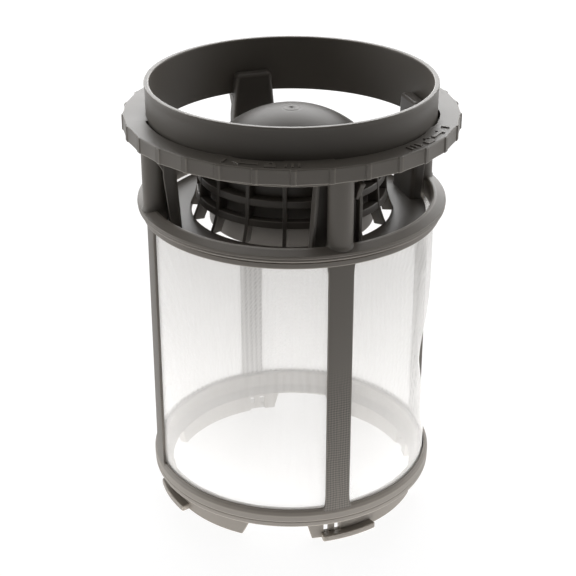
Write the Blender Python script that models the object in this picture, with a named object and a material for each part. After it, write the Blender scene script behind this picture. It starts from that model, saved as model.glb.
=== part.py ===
"""Dishwasher filter: a fine mesh basket under a collar with a grip flange, and a snap-in
coarse strainer with a domed top.

Azimuth 0 points along -Y and grows towards +X. The four posts, ribs and snap arms stand
at azimuths 0, 90, 180 and 270 degrees. The foot of the basket stands on z = 0.
"""

import math

import bmesh
import bpy
from mathutils import Matrix

MM = 0.001

# Clearances
FIT_GAP = 0.3 * MM              # between pieces that seat on or in each other
ARM_GAP = 0.4 * MM              # from a snap arm's plate to the post behind it
SHELF_GAP = 1.6 * MM            # from the strainer's shelf to the middle ring
BITE = 0.5 * MM                 # how far a joined shape reaches into the one that carries it

# Heights, from the foot up to the lip
SKIRT_HEIGHT = 6.0 * MM
MESH_WINDOW_HEIGHT = 88.8 * MM
BAND_HEIGHT = 2.0 * MM          # the part of the basket's band that shows under the middle ring
RING_HEIGHT = 3.8 * MM
POST_HEIGHT = 23.0 * MM
FLANGE_THICKNESS = 5.1 * MM
COLLAR_HEIGHT = 10.1 * MM

# Mesh sleeve
MESH_RADIUS = 47.0 * MM
MESH_THICKNESS = 0.3 * MM

# Collar
COLLAR_INSET = 0.2 * MM         # the collar's wall stands this much inside the mesh
COLLAR_WALL = 1.4 * MM
COLLAR_SKIRT = 3.4 * MM         # reaches down below the flange
LIP_BEAD = 0.3 * MM
LIP_BEAD_HEIGHT = 1.9 * MM
LIP_EDGE = 0.4 * MM

# Grip flange
FLANGE_REACH = 7.8 * MM         # from the collar's wall to the flange's corners
FLANGE_SIDES = 30
FLANGE_LAND = 1.5 * MM          # width of the narrow land at each corner
FLANGE_EDGE = 0.5 * MM
GROOVE_WIDTH = 1.1 * MM
GROOVE_DEPTH = 2.0 * MM
GROOVE_BRIDGE = 12.0            # degrees left uncut between two lengths of groove

# Posts and the ledges that the strainer stands on
POST_COUNT = 4
POST_RADIUS = 4.0 * MM
POST_INSET = 0.8 * MM           # from the collar's outer face in to the post's centre
PILASTER_INSET = 0.3 * MM       # a pilaster is this much slimmer than its post
PILASTER_TAIL = 0.4 * MM        # and ends this much below its ledge
LEDGE_WIDTH = 6.0 * MM
LEDGE_REACH = 3.0 * MM          # from the post's inner face, under the strainer's shelf
LEDGE_THICKNESS = 1.6 * MM

# Middle ring
RING_WALL = 1.2 * MM            # outside the band's rebate
RING_SLOPE = 1.0 * MM           # fall of the top face from its inner to its outer edge
RING_EDGE = 0.6 * MM
RING_STEP = 0.4 * MM            # the lower ridge stands this much inside the upper one
RING_GROOVE = 0.5 * MM
RING_ROOF = 2.3 * MM            # thickness left over the band
LIP_THICKNESS = 0.4 * MM        # inner lip that hides the mesh's upper end
LIP_LENGTH = 3.9 * MM           # reaches down below the parting line

# Basket frame
BAND_THICKNESS = 2.0 * MM
RIB_WIDTH = 8.3 * MM
RIB_THICKNESS = 0.95 * MM
RIB_SETBACK = 0.1 * MM
RIB_CORNER_HEIGHT = 4.5 * MM
RIB_CORNER_WIDTH = 0.8 * MM

# Bottom ring, from its top face down
BEAD_REACH = 1.45 * MM          # the bead stands this much outside the mesh's slot
BEAD_DEPTH = 0.65 * MM
BEAD_EDGE = 0.5 * MM
BEAD_DROP = 1.0 * MM
BEAD_HEIGHT = 3.6 * MM
LOWER_GROOVE_HEIGHT = 0.5 * MM
LOWER_BEAD_HEIGHT = 1.8 * MM
RING_CHAMFER = 1.3 * MM         # from the lower bead in to the skirt
INNER_LIP_THICKNESS = 1.7 * MM
INNER_CHAMFER = 2.1 * MM
SLOT_DEPTH = 4.2 * MM           # how deep the mesh stands in the bottom ring

# Foot skirt with its bayonet ledges
SKIRT_INSET = 2.6 * MM          # from the mesh in to the skirt's outer face
SKIRT_WALL = 2.5 * MM
NOTCH_FOOT = (-40.5, -9.5)      # degrees from the rib beside it
NOTCH_TOP = (-36.5, -12.0)
NOTCH_HEIGHT = 5.6 * MM
LUG_REACH = 2.4 * MM            # outside the skirt
LUG_HEIGHT = 2.1 * MM
LUG_SPAN = (-5.5, 20.0)
SLOT_SPANS = ((-4.4, -2.7), (-0.1, 1.3))
SLOT_FOOT = 0.4 * MM            # from the bayonet ledge up to a slot
SLOT_HEIGHT = 3.0 * MM

# Coarse strainer: dome, cup and cage
CAGE_HEIGHT = 20.0 * MM
CAGE_GAP = 6.1 * MM             # from a snap arm's foot in to the cage's foot
CAGE_FLARE = 1.8 * MM           # from the waist out to the foot
CAGE_TAPER = 0.8 * MM           # from the waist in to the top
CAGE_WAIST = 8.0 * MM           # height of the waist over the shelf
CAGE_BAR_COUNT = 16
CAGE_BAR_WIDTH = 1.4 * MM
CAGE_BAR_DEPTH = 1.6 * MM
HOOP_HEIGHT = 2.3 * MM
HOOP_INSET = 0.2 * MM           # the bars stand this much proud of the hoops
UPPER_HOOP_DROP = 6.0 * MM      # below the top of the cage
LOWER_HOOP_DROP = 12.7 * MM
LOWER_HOOP_DEPTH = 3.0 * MM
DOME_HEIGHT = 14.1 * MM
DOME_SHOULDER_RADIUS = 6.0 * MM
DOME_TUCK = 0.55 * MM           # the shoulder's centre lies this much below the cage's top
DOME_WALL = 1.5 * MM
CUP_INSET = 3.3 * MM            # from the cage's top in to the cup's outer face
CUP_WALL = 1.3 * MM
CUP_DROP = 3.5 * MM             # below the shelf's top face
SHELF_OVERLAP = 2.5 * MM        # how far the shelf passes under the cage
SHELF_THICKNESS = 1.4 * MM

# Snap arms: channels open towards the posts
ARM_PLATE = 1.3 * MM
ARM_WALL = 1.0 * MM
ARM_FOOT_WIDTH = 16.6 * MM
ARM_KNEE_WIDTH = 14.4 * MM
ARM_TOP_WIDTH = 11.8 * MM
ARM_LEAN = 1.1 * MM             # the foot stands this much further in than the finger
ARM_FOOT_DEPTH = 3.6 * MM
ARM_KNEE_DEPTH = 4.5 * MM
ARM_TOP_DEPTH = 3.8 * MM
ARM_CORNER = 1.2 * MM
ARM_KNEE_DROP = 7.4 * MM        # from the collar's lower edge down to the knee
ARM_TOP_RISE = 7.6 * MM         # and up to the top of the finger
HOOK_WIDTH = 1.6 * MM
HOOK_REACH = 0.9 * MM           # how far a hook comes out past the collar's wall
HOOK_LAND = 0.8 * MM
HOOK_HEIGHT = 6.3 * MM

# How finely round shapes are divided
RING_STEPS = 60
CAGE_STEPS = 48
POST_STEPS = 24

# Levels that follow from the heights above
ring_foot_z = SKIRT_HEIGHT
lower_bead_foot_z = ring_foot_z + RING_CHAMFER
lower_bead_top_z = lower_bead_foot_z + LOWER_BEAD_HEIGHT
bead_foot_z = lower_bead_top_z + LOWER_GROOVE_HEIGHT
bead_top_z = bead_foot_z + BEAD_HEIGHT
mesh_foot_z = bead_top_z + BEAD_DROP
band_foot_z = mesh_foot_z + MESH_WINDOW_HEIGHT
parting_z = band_foot_z + BAND_HEIGHT
ring_top_z = parting_z + RING_HEIGHT
flange_foot_z = ring_top_z + POST_HEIGHT
flange_top_z = flange_foot_z + FLANGE_THICKNESS
lip_z = flange_top_z + COLLAR_HEIGHT
collar_foot_z = flange_foot_z - COLLAR_SKIRT

# Radii and levels shared by pieces that fit together
collar_r = MESH_RADIUS - COLLAR_INSET
collar_inner_r = collar_r - COLLAR_WALL
flange_corner_r = collar_r + FLANGE_REACH
mesh_inner_r = MESH_RADIUS - MESH_THICKNESS
basket_inner_r = MESH_RADIUS + FIT_GAP
lip_outer_r = mesh_inner_r - FIT_GAP
ring_inner_r = lip_outer_r - LIP_THICKNESS
band_outer_r = basket_inner_r + BAND_THICKNESS
ring_r = band_outer_r + FIT_GAP + RING_WALL
bead_r = basket_inner_r + BEAD_REACH
skirt_r = MESH_RADIUS - SKIRT_INSET
skirt_inner_r = skirt_r - SKIRT_WALL
lug_r = skirt_r + LUG_REACH
rebate_top_z = ring_top_z - RING_ROOF
band_top_z = rebate_top_z - FIT_GAP
slot_foot_z = mesh_foot_z - SLOT_DEPTH
post_pitch_r = collar_r - POST_INSET
post_inner_r = post_pitch_r - POST_RADIUS
shelf_top_z = band_foot_z
shelf_foot_z = shelf_top_z - SHELF_THICKNESS
ledge_top_z = shelf_foot_z - FIT_GAP
shelf_r = ring_inner_r - SHELF_GAP
finger_r = post_inner_r - ARM_GAP - ARM_PLATE
arm_foot_r = finger_r - ARM_LEAN
cage_top_z = shelf_top_z + CAGE_HEIGHT
cage_foot_r = arm_foot_r - CAGE_GAP
cage_waist_r = cage_foot_r - CAGE_FLARE
cage_top_r = cage_waist_r - CAGE_TAPER
cup_r = cage_top_r - CUP_INSET
cup_inner_r = cup_r - CUP_WALL
shelf_inner_r = cage_foot_r - SHELF_OVERLAP

# The dome's sphere touches the arc of its shoulder, which touches the cage's top
shoulder_r = cage_top_r - DOME_SHOULDER_RADIUS
shoulder_z = cage_top_z - DOME_TUCK
dome_rise = DOME_HEIGHT + DOME_TUCK
sphere_r = ((dome_rise ** 2 + shoulder_r ** 2 - DOME_SHOULDER_RADIUS ** 2)
            / (2 * (dome_rise - DOME_SHOULDER_RADIUS)))
sphere_z = cage_top_z + DOME_HEIGHT - sphere_r


def place(azimuth, radius, height, offset=0.0):
    """Point at a radius and height, with an offset sideways from the azimuth's own plane."""
    angle = math.radians(azimuth)
    x = radius * math.sin(angle) + offset * math.cos(angle)
    y = offset * math.sin(angle) - radius * math.cos(angle)
    return (x, y, height)


def finish_object(name, mesh_data):
    """Wrap a bmesh in a new object, with its faces pointing out."""
    bmesh.ops.recalc_face_normals(mesh_data, faces=mesh_data.faces)
    mesh = bpy.data.meshes.new(name)
    mesh_data.to_mesh(mesh)
    mesh_data.free()
    obj = bpy.data.objects.new(name, mesh)
    bpy.context.collection.objects.link(obj)
    return obj


def turned(name, profile, steps, span=(0.0, 360.0)):
    """Solid of revolution about Z. A profile is a loop of (radius, height) points; it runs
    from axis to axis if its first and last points are on the axis."""
    mesh_data = bmesh.new()
    start, end = span
    full_turn = abs(end - start - 360.0) < 1e-6
    points = [mesh_data.verts.new(place(start, r, z)) for r, z in profile]
    on_axis = profile[0][0] == 0.0 and profile[-1][0] == 0.0
    if full_turn:
        pairs = list(zip(points, points[1:]))
        if not on_axis:
            pairs.append((points[-1], points[0]))
        geometry = points + [mesh_data.edges.new(pair) for pair in pairs]
    else:
        geometry = [mesh_data.faces.new(points)]
    bmesh.ops.spin(mesh_data, geom=geometry, cent=(0, 0, 0), axis=(0, 0, 1),
                   angle=math.radians(end - start), steps=steps, use_merge=full_turn)
    if full_turn:
        bmesh.ops.remove_doubles(mesh_data, verts=mesh_data.verts, dist=0.001 * MM)
    return finish_object(name, mesh_data)


def extruded(name, outline, direction):
    """Prism from a loop of points in space, pushed along a direction."""
    mesh_data = bmesh.new()
    face = mesh_data.faces.new([mesh_data.verts.new(point) for point in outline])
    grown = bmesh.ops.extrude_face_region(mesh_data, geom=[face])
    moved = [item for item in grown["geom"] if isinstance(item, bmesh.types.BMVert)]
    bmesh.ops.translate(mesh_data, verts=moved, vec=direction)
    return finish_object(name, mesh_data)


def radial_plate(name, outline, inner_r, outer_r):
    """Plate facing azimuth 0: an outline of (offset, height) points between two distances
    from the axis."""
    loop = [place(0.0, inner_r, z, offset) for offset, z in outline]
    return extruded(name, loop, (0.0, inner_r - outer_r, 0.0))


def side_plate(name, outline, offset, width):
    """Plate in the plane of azimuth 0: an outline of (radius, height) points, one width
    thick, centred on an offset."""
    loop = [place(0.0, r, z, offset - width / 2) for r, z in outline]
    return extruded(name, loop, (width, 0.0, 0.0))


def lofted(name, loops):
    """Solid through closed loops of points, all with the same number of points."""
    mesh_data = bmesh.new()
    rings = [[mesh_data.verts.new(point) for point in loop] for loop in loops]
    for low, high in zip(rings, rings[1:]):
        for i, point in enumerate(low):
            following = (i + 1) % len(low)
            mesh_data.faces.new((point, low[following], high[following], high[i]))
    mesh_data.faces.new(rings[0])
    mesh_data.faces.new(rings[-1])
    bmesh.ops.triangulate(mesh_data, faces=mesh_data.faces)
    return finish_object(name, mesh_data)


def arc_plate(name, rows, inner_r, outer_r, columns):
    """Curved plate between two radii. Each row gives a height and the two azimuths that the
    plate spans there."""
    loops = []
    for height, start, end in rows:
        azimuths = [start + (end - start) * i / columns for i in range(columns + 1)]
        outer = [place(a, outer_r, height) for a in azimuths]
        inner = [place(a, inner_r, height) for a in reversed(azimuths)]
        loops.append(outer + inner)
    return lofted(name, loops)


def repeat_round(obj, count):
    """Copy an object's mesh round the axis, into the same object."""
    mesh_data = bmesh.new()
    mesh_data.from_mesh(obj.data)
    first = list(mesh_data.verts) + list(mesh_data.edges) + list(mesh_data.faces)
    for i in range(1, count):
        copy = bmesh.ops.duplicate(mesh_data, geom=first)["geom"]
        points = [item for item in copy if isinstance(item, bmesh.types.BMVert)]
        turn = Matrix.Rotation(2 * math.pi * i / count, 3, "Z")
        bmesh.ops.rotate(mesh_data, verts=points, cent=(0, 0, 0), matrix=turn)
    mesh_data.to_mesh(obj.data)
    mesh_data.free()
    return obj


def mirror_across(obj):
    """Add an object's mirror image across the plane x = 0, into the same object."""
    mesh_data = bmesh.new()
    mesh_data.from_mesh(obj.data)
    first = list(mesh_data.verts) + list(mesh_data.edges) + list(mesh_data.faces)
    copy = bmesh.ops.duplicate(mesh_data, geom=first)["geom"]
    points = [item for item in copy if isinstance(item, bmesh.types.BMVert)]
    bmesh.ops.scale(mesh_data, verts=points, vec=(-1, 1, 1))
    bmesh.ops.recalc_face_normals(mesh_data, faces=mesh_data.faces)
    mesh_data.to_mesh(obj.data)
    mesh_data.free()
    return obj


def combine(target, tool, operation):
    """Join a tool to a target, or cut it away, and remove the tool."""
    modifier = target.modifiers.new("combine", "BOOLEAN")
    modifier.operation = operation
    modifier.solver = "EXACT"
    modifier.object = tool
    depsgraph = bpy.context.evaluated_depsgraph_get()
    result = bpy.data.meshes.new_from_object(target.evaluated_get(depsgraph))
    target.modifiers.remove(modifier)
    before = target.data
    target.data = result
    bpy.data.meshes.remove(before)
    bpy.data.objects.remove(tool)
    return target


def join(target, *tools):
    for tool in tools:
        combine(target, tool, "UNION")
    return target


def cut(target, *tools):
    for tool in tools:
        combine(target, tool, "DIFFERENCE")
    return target


def plastic(name, colour, roughness, alpha=1.0):
    material = bpy.data.materials.new(name)
    material.use_nodes = True
    shader = material.node_tree.nodes["Principled BSDF"]
    shader.inputs["Base Color"].default_value = (*colour, 1.0)
    shader.inputs["Roughness"].default_value = roughness
    shader.inputs["Metallic"].default_value = 0.0
    shader.inputs["Alpha"].default_value = alpha
    material.diffuse_color = (*colour, alpha)
    return material


def dress(obj, name, material):
    """Name a finished piece, give it its material and shade its round faces smooth."""
    obj.name = name
    obj.data.name = name
    obj.data.materials.clear()
    obj.data.materials.append(material)
    obj.data.shade_smooth()
    obj.data.set_sharp_from_angle(angle=math.radians(28.0))
    return obj


def collar():
    """Round wall with a small bead at the lip, reaching down through the flange."""
    outer = collar_r
    bead = collar_r + LIP_BEAD
    inner = collar_inner_r
    profile = [
        (bead - LIP_EDGE, lip_z),
        (bead, lip_z - LIP_EDGE),
        (bead, lip_z - LIP_BEAD_HEIGHT + LIP_BEAD),
        (outer, lip_z - LIP_BEAD_HEIGHT),
        (outer, collar_foot_z),
        (inner, collar_foot_z),
        (inner, lip_z - LIP_EDGE),
        (inner + LIP_EDGE, lip_z),
    ]
    return turned("collar", profile, RING_STEPS)


def flange():
    """Grip flange: many flats with a narrow land at each corner, and eased edges. The groove
    round the collar's foot is cut in lengths, with a bridge between the posts."""
    pitch = 360.0 / FLANGE_SIDES
    apothem = flange_corner_r * math.cos(math.radians(pitch / 2))
    land = math.degrees(math.asin(FLANGE_LAND / 2 / flange_corner_r))
    corner_r = apothem / math.cos(math.radians(pitch / 2 - land))
    inner_r = collar_inner_r + COLLAR_WALL / 2
    levels = [
        (0.0, flange_foot_z),
        (corner_r - FLANGE_EDGE, flange_foot_z),
        (corner_r, flange_foot_z + FLANGE_EDGE),
        (corner_r, flange_top_z - FLANGE_EDGE),
        (corner_r - FLANGE_EDGE, flange_top_z),
        (0.0, flange_top_z),
    ]
    mesh_data = bmesh.new()
    loops = []
    for radius, height in levels:
        loop = []
        for i in range(FLANGE_SIDES):
            for side in (-1, 1):
                spread = land if radius > 0.0 else pitch / 4
                azimuth = pitch * (i + 0.5) + side * spread
                loop.append(mesh_data.verts.new(place(azimuth, radius or inner_r, height)))
        loops.append(loop)
    for low, high in zip(loops, loops[1:] + loops[:1]):
        for i, point in enumerate(low):
            following = (i + 1) % len(low)
            mesh_data.faces.new((point, low[following], high[following], high[i]))
    body = finish_object("flange", mesh_data)

    spacing = 360.0 / POST_COUNT
    span = (spacing / 2 + GROOVE_BRIDGE / 2, spacing * 1.5 - GROOVE_BRIDGE / 2)
    groove_r = collar_r + GROOVE_WIDTH
    groove_z = flange_top_z - GROOVE_DEPTH
    profile = [
        (inner_r - COLLAR_WALL, groove_z),
        (groove_r, groove_z),
        (groove_r, flange_top_z + FLANGE_EDGE),
        (inner_r - COLLAR_WALL, flange_top_z + FLANGE_EDGE),
    ]
    groove = turned("groove", profile, 13, span)
    return cut(body, repeat_round(groove, POST_COUNT))


def middle_ring():
    """Stepped ring under the posts. Its underside has a rebate for the basket's band and a
    thin inner lip that covers the mesh's upper end."""
    crown_r = lip_outer_r + BITE
    slope_z = ring_top_z - RING_SLOPE
    step_r = ring_r - RING_STEP
    ridge = (slope_z - parting_z) / 4
    rebate_r = band_outer_r + FIT_GAP
    profile = [
        (crown_r, ring_top_z),
        (ring_r - RING_EDGE, slope_z + RING_EDGE / 3),
        (ring_r, slope_z - RING_EDGE / 2),
        (ring_r, slope_z - ridge),
        (step_r - RING_GROOVE, slope_z - 1.6 * ridge),
        (step_r, slope_z - 2.2 * ridge),
        (step_r, parting_z + RING_EDGE / 2),
        (step_r - RING_EDGE / 2, parting_z),
        (rebate_r, parting_z),
        (rebate_r, rebate_top_z),
        (lip_outer_r, rebate_top_z),
        (lip_outer_r, parting_z - LIP_LENGTH),
        (ring_inner_r, parting_z - LIP_LENGTH),
        (ring_inner_r, ring_top_z - RING_EDGE),
    ]
    return turned("middle_ring", profile, RING_STEPS)


def round_outline(radius, steps, start, end):
    """Points of an arc about the post's centre, as (offset, distance from the axis)."""
    points = []
    for i in range(steps + 1):
        angle = math.radians(start + (end - start) * i / steps)
        points.append((radius * math.cos(angle), post_pitch_r - radius * math.sin(angle)))
    return points


def posts():
    """Round columns between the middle ring and the flange."""
    outline = round_outline(POST_RADIUS, POST_STEPS, 0.0, 360.0)[:-1]
    foot_z = ring_top_z - 3 * BITE
    loop = [place(0.0, r, foot_z, offset) for offset, r in outline]
    rise = flange_foot_z + BITE - foot_z
    return repeat_round(extruded("post", loop, (0.0, 0.0, rise)), POST_COUNT)


def pilasters():
    """Half-round continuation of each post down the inside of the ring."""
    radius = POST_RADIUS - PILASTER_INSET
    back_r = (ring_inner_r + lip_outer_r) / 2
    outline = round_outline(radius, POST_STEPS // 2, 0.0, 180.0)
    outline += [(-radius, back_r), (radius, back_r)]
    foot_z = ledge_top_z - LEDGE_THICKNESS - PILASTER_TAIL
    loop = [place(0.0, r, foot_z, offset) for offset, r in outline]
    rise = ring_top_z - BITE - foot_z
    return repeat_round(extruded("pilaster", loop, (0.0, 0.0, rise)), POST_COUNT)


def ledges():
    """Small ledge at each pilaster's foot, under the strainer's shelf."""
    foot_z = ledge_top_z - LEDGE_THICKNESS
    slope = LEDGE_THICKNESS / 2
    inner_r = post_inner_r - LEDGE_REACH
    outline = [
        (post_inner_r + 2 * BITE, foot_z),
        (inner_r + slope, foot_z),
        (inner_r, foot_z + slope),
        (inner_r, ledge_top_z),
        (post_inner_r + 2 * BITE, ledge_top_z),
    ]
    return repeat_round(side_plate("ledge", outline, 0.0, LEDGE_WIDTH), POST_COUNT)


def upper_frame():
    ring = join(middle_ring(), posts(), pilasters(), ledges())
    return join(ring, flange(), collar())


def band():
    """Narrow band at the basket's top, seated in the middle ring's rebate."""
    edge = FIT_GAP
    profile = [
        (basket_inner_r, band_top_z),
        (band_outer_r, band_top_z),
        (band_outer_r, band_foot_z + edge),
        (band_outer_r - edge, band_foot_z),
        (basket_inner_r, band_foot_z),
    ]
    return turned("band", profile, RING_STEPS)


def ribs():
    """Flat uprights outside the mesh, flared into both rings at their four corners."""
    inner_r = basket_inner_r + RIB_SETBACK
    outer_r = inner_r + RIB_THICKNESS

    def row(height, flare):
        half = math.degrees((RIB_WIDTH / 2 + RIB_CORNER_WIDTH * flare) / outer_r)
        return (height, -half, half)

    curve = [(0.0, 1.0), (0.12, 0.5), (0.4, 0.15), (1.0, 0.0)]
    foot = [row(mesh_foot_z + t * RIB_CORNER_HEIGHT, flare) for t, flare in curve]
    head = [row(band_foot_z - t * RIB_CORNER_HEIGHT, flare) for t, flare in reversed(curve)]
    rows = [row(mesh_foot_z - 5 * BITE, 1.0)] + foot + head + [row(band_foot_z + 2 * BITE, 1.0)]
    return repeat_round(arc_plate("rib", rows, inner_r, outer_r, 4), POST_COUNT)


def bottom_ring():
    """Bottom ring with a bead, a thin groove and a lower bead outside, a slot for the mesh's
    lower end, and the foot skirt under it."""
    waist = bead_r - BEAD_DEPTH
    shoulder = bead_r - BEAD_DEPTH / 4
    lip_inner = lip_outer_r - INNER_LIP_THICKNESS
    inner_foot = ring_foot_z + BEAD_EDGE
    profile = [
        (basket_inner_r, mesh_foot_z),
        (waist - BEAD_DEPTH / 3, mesh_foot_z - BEAD_EDGE / 2),
        (waist, bead_top_z),
        (shoulder, bead_top_z - BEAD_EDGE),
        (bead_r, (bead_top_z + bead_foot_z) / 2),
        (shoulder, bead_foot_z + BEAD_EDGE),
        (waist, bead_foot_z),
        (waist, lower_bead_top_z),
        (shoulder, lower_bead_top_z - BEAD_EDGE / 2),
        (shoulder, lower_bead_foot_z + BEAD_EDGE / 2),
        (waist, lower_bead_foot_z),
        (skirt_r, ring_foot_z),
        (skirt_r, 0.0),
        (skirt_inner_r, 0.0),
        (skirt_inner_r, inner_foot),
        (lip_inner, inner_foot + INNER_CHAMFER),
        (lip_inner, bead_top_z),
        (lip_outer_r, mesh_foot_z - BEAD_EDGE),
        (lip_outer_r, slot_foot_z),
        (basket_inner_r, slot_foot_z),
    ]
    return turned("bottom_ring", profile, RING_STEPS)


def skirt_notches():
    """Cutter for the gaps in the foot skirt, with slanted ends."""
    below = -BITE
    top_start, top_end = NOTCH_TOP
    foot_start, foot_end = NOTCH_FOOT
    rows = [
        (below, foot_start, foot_end),
        (NOTCH_HEIGHT * 0.8, top_start - 0.6, top_end + 0.6),
        (NOTCH_HEIGHT, top_start + 0.6, top_end - 0.6),
    ]
    inner_r = skirt_inner_r - 2 * BITE
    outer_r = skirt_r + 2 * BITE
    return repeat_round(arc_plate("notch", rows, inner_r, outer_r, 6), POST_COUNT)


def skirt_slots():
    """Cutter for the two narrow slots over each bayonet ledge."""
    inner_r = skirt_inner_r - 2 * BITE
    outer_r = skirt_r + 2 * BITE
    foot = LUG_HEIGHT + SLOT_FOOT
    top = foot + SLOT_HEIGHT
    tools = []
    for number, (start, end) in enumerate(SLOT_SPANS):
        rows = [(foot, start, end), (top, start, end)]
        tool = arc_plate("slot_%d" % number, rows, inner_r, outer_r, 1)
        tools.append(repeat_round(tool, POST_COUNT))
    return tools


def lugs():
    """Bayonet ledges round the foot."""
    edge = FIT_GAP
    inner_r = skirt_r - SKIRT_WALL / 2
    profile = [
        (inner_r, 0.0),
        (lug_r, 0.0),
        (lug_r, LUG_HEIGHT - edge),
        (lug_r - edge, LUG_HEIGHT),
        (inner_r, LUG_HEIGHT),
    ]
    return repeat_round(turned("lug", profile, 5, LUG_SPAN), POST_COUNT)


def basket_frame():
    body = cut(bottom_ring(), skirt_notches())
    join(body, lugs())
    cut(body, *skirt_slots())
    return join(body, ribs(), band())


def mesh_sleeve():
    """The woven cloth as one thin tube, standing in the bottom ring's slot and in the middle
    ring's rebate."""
    foot_z = slot_foot_z + FIT_GAP
    profile = [
        (MESH_RADIUS, band_top_z),
        (MESH_RADIUS, foot_z),
        (mesh_inner_r, foot_z),
        (mesh_inner_r, band_top_z),
    ]
    return turned("mesh", profile, RING_STEPS)


def dome_height(radius, inset):
    """Height of the dome's surface, or of a surface one inset below it, at a radius."""
    touch = shoulder_r * (sphere_r - inset) / (sphere_r - DOME_SHOULDER_RADIUS)
    if radius <= touch:
        return sphere_z + math.sqrt((sphere_r - inset) ** 2 - radius ** 2)
    arc = DOME_SHOULDER_RADIUS - inset
    return shoulder_z + math.sqrt(max(arc ** 2 - (radius - shoulder_r) ** 2, 0.0))


def dome_and_cup():
    """Domed top with its rounded shoulder, and the cup that hangs under it."""
    tilt = math.asin(shoulder_r / (sphere_r - DOME_SHOULDER_RADIUS))
    end = math.pi / 2 - math.asin(DOME_TUCK / DOME_SHOULDER_RADIUS)
    profile = []
    for i in range(6):
        angle = tilt * i / 5
        profile.append((sphere_r * math.sin(angle), sphere_z + sphere_r * math.cos(angle)))
    for i in range(1, 4):
        angle = tilt + (end - tilt) * i / 3
        profile.append((shoulder_r + DOME_SHOULDER_RADIUS * math.sin(angle),
                        shoulder_z + DOME_SHOULDER_RADIUS * math.cos(angle)))
    edge_r = profile[-1][0] - DOME_WALL
    cup_foot = shelf_top_z - CUP_DROP
    profile += [
        (edge_r, cage_top_z),
        ((edge_r + cup_r) / 2, dome_height((edge_r + cup_r) / 2, DOME_WALL)),
        (cup_r, dome_height(cup_r, DOME_WALL)),
        (cup_r, cup_foot),
        (cup_inner_r, cup_foot),
    ]
    for i in range(4):
        radius = cup_inner_r * (1 - i / 4)
        profile.append((radius, dome_height(radius, DOME_WALL)))
    profile.append((0.0, dome_height(0.0, DOME_WALL)))
    return turned("dome", profile, CAGE_STEPS)


def cage_radius(height):
    """Outer radius of the cage: nearly straight above its waist and flared below it."""
    over = height - shelf_top_z
    if over >= CAGE_WAIST:
        share = (over - CAGE_WAIST) / (CAGE_HEIGHT - CAGE_WAIST)
        return cage_waist_r + (cage_top_r - cage_waist_r) * share
    share = 1 - over / CAGE_WAIST
    return cage_waist_r + (cage_foot_r - cage_waist_r) * share ** 1.6


def cage_bars():
    """Upright bars of the cage, one on each arm's azimuth."""
    heights = [cage_top_z + BITE, shelf_top_z + CAGE_WAIST, shelf_top_z + CAGE_WAIST * 0.5,
               shelf_top_z + CAGE_WAIST * 0.2, shelf_top_z - BITE]
    outer = [(cage_radius(min(max(z, shelf_top_z), cage_top_z)), z) for z in heights]
    top_inner = cage_top_r - CAGE_BAR_DEPTH
    inner = [(max(top_inner, shelf_inner_r + BITE), heights[-1]),
             (top_inner, shelf_top_z + CAGE_WAIST * 0.5), (top_inner, heights[0])]
    bar = side_plate("bar", outer + inner, 0.0, CAGE_BAR_WIDTH)
    return repeat_round(bar, CAGE_BAR_COUNT)


def hoop(name, drop, inner_r):
    """Level hoop of the cage, a little inside the bars' outer faces."""
    top = cage_top_z - drop
    foot = top - HOOP_HEIGHT
    top_r = cage_radius(top) - HOOP_INSET
    foot_r = cage_radius(foot) - HOOP_INSET
    profile = [(inner_r, top), (top_r, top), (foot_r, foot), (inner_r, foot)]
    return turned(name, profile, CAGE_STEPS)


def shelf():
    """Flat shelf round the cage's foot, notched round each pilaster."""
    profile = [
        (shelf_inner_r, shelf_top_z),
        (shelf_r, shelf_top_z),
        (shelf_r, shelf_foot_z),
        (shelf_inner_r, shelf_foot_z),
    ]
    half = POST_RADIUS + 2 * FIT_GAP
    outline = [
        (-half, shelf_foot_z - BITE),
        (half, shelf_foot_z - BITE),
        (half, shelf_top_z + BITE),
        (-half, shelf_top_z + BITE),
    ]
    notch = radial_plate("notch", outline, post_inner_r - ARM_GAP, shelf_r + 4 * BITE)
    return cut(turned("shelf", profile, CAGE_STEPS), repeat_round(notch, POST_COUNT))


def arm_level(height, width, inner_r, depth):
    """Plan outline of a snap arm at one height, with its two inner corners eased."""
    half, corner = width / 2, ARM_CORNER
    outline = [
        (half, inner_r + depth),
        (half, inner_r + corner),
        (half - 0.3 * corner, inner_r + 0.3 * corner),
        (half - corner, inner_r),
    ]
    outline += [(-offset, r) for offset, r in reversed(outline)]
    return [place(0.0, r, height, offset) for offset, r in outline]


def recess_level(height, width, inner_r, depth):
    """Plan outline at one height of the channel in a snap arm."""
    half = width / 2 - ARM_WALL
    floor_r, mouth_r = inner_r + ARM_PLATE, inner_r + depth + BITE
    outline = [(half, mouth_r), (half, floor_r), (-half, floor_r), (-half, mouth_r)]
    return [place(0.0, r, height, offset) for offset, r in outline]


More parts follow.
